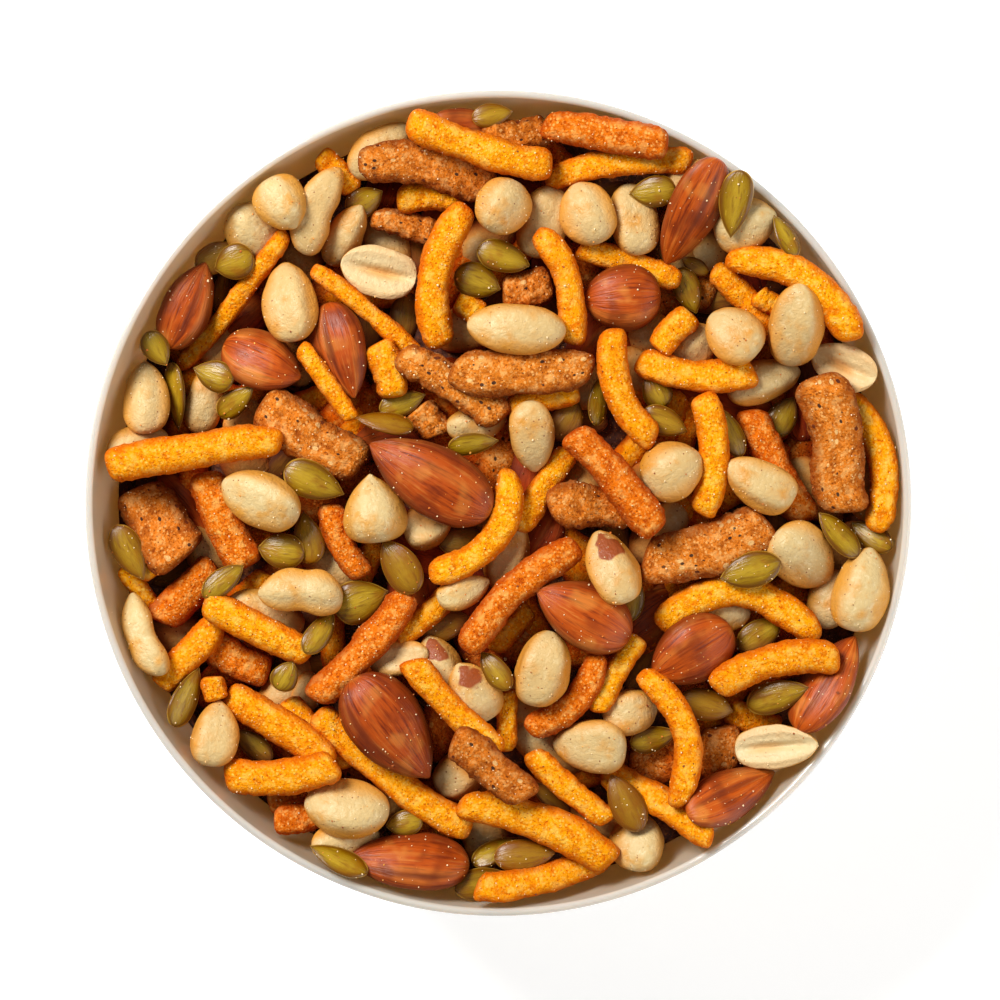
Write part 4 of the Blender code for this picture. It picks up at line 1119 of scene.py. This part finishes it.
# Each kind's object, and its finish with the two shades beside the body's colour
FINISHES = {
    "corn": ("corn_sticks", stick_paint, (255, 208, 92), (208, 84, 0), "corn_crust", False, 0.45),
    "chilli": ("chilli_sticks", stick_paint, (252, 190, 100), (168, 56, 2), "chilli_crust", False, 0.45),
    "sesame": ("sesame_sticks", stick_paint, (246, 186, 108), (124, 48, 10), "sesame_crust", True, 0.55),
    "almond": ("almonds", almond_paint, (224, 150, 66), (112, 38, 8)),
    "peanut": ("peanuts", peanut_paint, (208, 140, 34), (140, 52, 16)),
    "pepita": ("pumpkin_seeds", pepita_paint, (194, 162, 44), (94, 48, 0)),
}
LAYOUT = {}


def layout(seed):
    """The settled pieces, the deep ones and the heap's softened height field, worked out once."""
    if seed not in LAYOUT:
        gx, gy, wall, pile = fields()
        pieces = all_pieces()
        owner = settle(pieces, gx, gy, wall, pile)
        deep = deep_pieces(np.random.default_rng(seed), gx, gy, owner, wall)
        LAYOUT[seed] = (pieces, deep, softened(pile, SOFTENINGS))
    return LAYOUT[seed]


def place_on_frame(piece, node):
    """Ride the row's one body and stand for the solid."""
    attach(piece, "root")
    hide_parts(node)


def build_kind(context, kind):
    """All pieces of one kind as one object; deep ones have half the rings, split or dented ones twice."""
    heap = context.scene.trail_mix_heap
    name, paint, second, third, *rest = FINISHES[kind]
    material = paint(tuple(getattr(heap, kind)), colour(*second), colour(*third), *rest)
    pieces, deep, top = layout(heap.seed)
    skin = Skin()
    chosen = [piece for piece in pieces + deep if piece.kind == kind]
    for order, piece in enumerate(chosen):
        style = STYLES[kind]
        rings, around = style["sizes"]
        if kind == "peanut" and piece.number in SPLIT_PEANUTS + HOLLOW_PEANUTS + SKINNED_PEANUTS:
            rings, around = 2 * rings, 2 * around
        if piece.level == DEEP_LEVEL:
            rings, around = rings // 2, around // 2
        build = nut_skin if "share" not in style else stick_skin
        style = dict(style, grain=heap.grain * style.get("share", 0.0), wrinkle=heap.wrinkle)
        build(skin, piece, rings, around, heap.seed * 1000 + order * 7 + len(kind), style)
    place_on_frame(skin.object(name, material, top), "trail_mix")
    return {"FINISHED"}


def scattered(count, lift, seed):
    """Places drawn at random over the heap: each is the highest point of the built pieces in its cell."""
    points = [np.empty((0, 3))]
    for name, *_ in FINISHES.values():
        built = bpy.data.objects.get(name)
        if built is not None:
            flat = np.empty(len(built.data.vertices) * 3)
            built.data.vertices.foreach_get("co", flat)
            points.append(flat.reshape(-1, 3))
    points = np.concatenate(points)
    points = points[np.argsort(-points[:, 2], kind="stable")]
    cells = np.floor((points[:, :2] + FIELD_HALF) / CELL).astype(int)
    first = np.unique(cells[:, 0] * CELLS + cells[:, 1], return_index=True)[1]
    rng = np.random.default_rng(seed)
    picked = rng.choice(first, size=min(count, len(first)), replace=False)
    return points[picked] + np.array((0.0, 0.0, lift)), rng


# Operators


class TRAILMIX_OT_bowl(bpy.types.Operator):
    """Build the glazed bowl"""

    bl_idname = "trailmix.bowl"
    bl_label = "Bowl"

    def execute(self, context):
        """Turn the bowl's half section and glaze it."""
        bowl = context.scene.trail_mix_bowl
        profile, wall_shade = bowl_profile()
        grid = turned(profile, bowl.around)
        skin = Skin()
        skin.add(grid, (0.0, 0.0, FOOT_RECESS), (0.0, 0.0, FLOOR_HEIGHT), sunk=wall_shade[:, None])
        place_on_frame(skin.object("glazed_bowl", glaze_paint(tuple(bowl.glaze), bowl.roughness)), "bowl")
        return {"FINISHED"}


class TRAILMIX_OT_bed(bpy.types.Operator):
    """Build the dark core under the pieces, painted as the shade deep in the heap"""

    bl_idname = "trailmix.bed"
    bl_label = "Crumb Bed"

    def execute(self, context):
        """Fill the bowl under the pieces."""
        grid = core_grid(BED_AROUND, context.scene.trail_mix_heap.bed_depth)
        skin = Skin()
        skin.add(grid, (0.0, 0.0, FLOOR_HEIGHT + SKIN_GAP), (0.0, 0.0, grid[-1, :, 2].mean()))
        place_on_frame(skin.object("crumb_bed", core_shade_paint()), "trail_mix")
        return {"FINISHED"}


class TRAILMIX_OT_corn(bpy.types.Operator):
    """Build the corn sticks"""

    bl_idname = "trailmix.corn"
    bl_label = "Corn Sticks"

    def execute(self, context):
        """Build every corn stick of the layout."""
        return build_kind(context, "corn")


class TRAILMIX_OT_chilli(bpy.types.Operator):
    """Build the chilli sticks"""

    bl_idname = "trailmix.chilli"
    bl_label = "Chilli Sticks"

    def execute(self, context):
        """Build every chilli stick of the layout."""
        return build_kind(context, "chilli")


class TRAILMIX_OT_sesame(bpy.types.Operator):
    """Build the sesame sticks"""

    bl_idname = "trailmix.sesame"
    bl_label = "Sesame Sticks"

    def execute(self, context):
        """Build every sesame stick of the layout."""
        return build_kind(context, "sesame")


class TRAILMIX_OT_almonds(bpy.types.Operator):
    """Build the almonds"""

    bl_idname = "trailmix.almonds"
    bl_label = "Almonds"

    def execute(self, context):
        """Build every almond of the layout."""
        return build_kind(context, "almond")


class TRAILMIX_OT_peanuts(bpy.types.Operator):
    """Build the peanuts"""

    bl_idname = "trailmix.peanuts"
    bl_label = "Peanuts"

    def execute(self, context):
        """Build every peanut of the layout."""
        return build_kind(context, "peanut")


class TRAILMIX_OT_pepitas(bpy.types.Operator):
    """Build the pumpkin seeds"""

    bl_idname = "trailmix.pepitas"
    bl_label = "Pumpkin Seeds"

    def execute(self, context):
        """Build every pumpkin seed of the layout."""
        return build_kind(context, "pepita")


class TRAILMIX_OT_salt(bpy.types.Operator):
    """Scatter the salt and the loose crumbs"""

    bl_idname = "trailmix.salt"
    bl_label = "Salt and Crumbs"

    def execute(self, context):
        """Scatter tiny blocks over the top of the heap."""
        heap = context.scene.trail_mix_heap
        for name, paint, share, lift, size, variety, seed in (
                ("salt_grains", salt_paint, 1, 0.1 * MM, 1.0, 0.3, heap.seed + 1),
                ("loose_crumbs", loose_paint, 3, 0.05 * MM, 1.2, 0.35, heap.seed + 3)):
            places, rng = scattered(heap.salt_count // share, lift, seed)
            sizes = heap.salt_size * size * rng.lognormal(0.0, variety, len(places))
            points, faces, tone = crystals(places, sizes, seed + 1)
            grains = mesh_object(name, points, faces, paint(), {"tone": tone}, smooth=False)
            place_on_frame(grains, "trail_mix")
        return {"FINISHED"}


def area_light(name, place, aim, size, power, shade):
    """A square lamp at a place, turned to shine at a point."""
    lamp = bpy.data.lights.new(name, "AREA")
    lamp.size, lamp.energy, lamp.color = size, power, shade
    item = bpy.data.objects.new(name, lamp)
    item.location = place
    item.rotation_euler = (Vector(aim) - Vector(place)).to_track_quat("-Z", "Y").to_euler()
    bpy.context.scene.collection.objects.link(item)


class TRAILMIX_OT_stage(bpy.types.Operator):
    """Set up the floor, the light and the camera"""

    bl_idname = "trailmix.stage"
    bl_label = "Stage"

    def execute(self, context):
        """Floor, key and fill lamps, sky and a camera straight above."""
        scene = context.scene
        stage = scene.trail_mix_stage
        grid = np.linspace(-FLOOR_HALF, FLOOR_HALF, FLOOR_STEPS)
        x, y = np.meshgrid(grid, grid, indexing="ij")
        points = np.stack((x, y, np.full_like(x, -FLOOR_GAP)), axis=-1).reshape(-1, 3)
        number = np.arange(FLOOR_STEPS ** 2).reshape(FLOOR_STEPS, FLOOR_STEPS)
        faces = np.stack((number[:-1, :-1], number[1:, :-1], number[1:, 1:], number[:-1, 1:]), axis=-1)
        floor = mesh_object("floor", points, faces.reshape(-1, 4), floor_paint(tuple(stage.floor)))
        middle = (0.0, 0.0, BOWL_HEIGHT)
        area_light("key_lamp", KEY_PLACE, middle, KEY_SIZE, stage.key, (1.0, 0.975, 0.935))
        area_light("fill_lamp", FILL_PLACE, middle, FILL_SIZE, stage.key * FILL_SHARE, (1.0, 0.975, 0.94))
        world = bpy.data.worlds.new("sky")
        world.use_nodes = True
        background = world.node_tree.nodes["Background"]
        background.inputs["Color"].default_value = (1.0, 1.0, 1.0, 1.0)
        background.inputs["Strength"].default_value = stage.sky
        scene.world = world
        scene.view_settings.view_transform = "Standard"
        camera = bpy.data.cameras.new("camera")
        camera.sensor_width = SENSOR_WIDTH
        camera.lens = SENSOR_WIDTH * stage.eye / (PICTURE_SIZE * PIXEL)
        camera.clip_start, camera.clip_end = CLIP
        item = bpy.data.objects.new("camera", camera)
        item.location = ((PICTURE_MIDDLE[0] - PICTURE_CENTRE[0]) * PIXEL,
                         (PICTURE_CENTRE[1] - PICTURE_MIDDLE[1]) * PIXEL, BOWL_HEIGHT + stage.eye)
        scene.collection.objects.link(item)
        scene.camera = item
        return {"FINISHED"}


class TRAILMIX_PT_panel(bpy.types.Panel):
    """Lists the settings and the steps in the sidebar"""

    bl_label = "Trail Mix"
    bl_space_type = "VIEW_3D"
    bl_region_type = "UI"
    bl_category = "Trail Mix"

    def draw(self, context):
        """Each group's settings, then its buttons."""
        scene, column = context.scene, self.layout.column()
        for group, steps in ((scene.trail_mix_stage, STEPS[:1]), (scene.trail_mix_bowl, STEPS[1:2]),
                             (scene.trail_mix_heap, STEPS[2:])):
            box = column.box()
            for name in group.__annotations__:
                box.prop(group, name)
            for step in steps:
                box.operator(step.bl_idname)


GROUPS = (("trail_mix_bowl", TrailMixBowl), ("trail_mix_heap", TrailMixHeap),
          ("trail_mix_stage", TrailMixStage))
STEPS = (TRAILMIX_OT_stage, TRAILMIX_OT_bowl, TRAILMIX_OT_bed, TRAILMIX_OT_corn, TRAILMIX_OT_chilli,
         TRAILMIX_OT_sesame, TRAILMIX_OT_almonds, TRAILMIX_OT_peanuts, TRAILMIX_OT_pepitas, TRAILMIX_OT_salt)


def register():
    """Make the settings, the steps and the panel known to Blender."""
    for name, group in GROUPS:
        bpy.utils.register_class(group)
        setattr(bpy.types.Scene, name, bpy.props.PointerProperty(type=group))
    for step in STEPS:
        bpy.utils.register_class(step)
    bpy.utils.register_class(TRAILMIX_PT_panel)


def unregister():
    """Undo register, last first."""
    bpy.utils.unregister_class(TRAILMIX_PT_panel)
    for step in reversed(STEPS):
        bpy.utils.unregister_class(step)
    for name, group in reversed(GROUPS):
        delattr(bpy.types.Scene, name)
        bpy.utils.unregister_class(group)


def main():
    """Register and build every piece in order."""
    register()
    bpy.ops.trailmix.stage()
    bpy.ops.trailmix.bowl()
    bpy.ops.trailmix.bed()
    bpy.ops.trailmix.corn()
    bpy.ops.trailmix.chilli()
    bpy.ops.trailmix.sesame()
    bpy.ops.trailmix.almonds()
    bpy.ops.trailmix.peanuts()
    bpy.ops.trailmix.pepitas()
    bpy.ops.trailmix.salt()


if __name__ == "__main__":
    main()
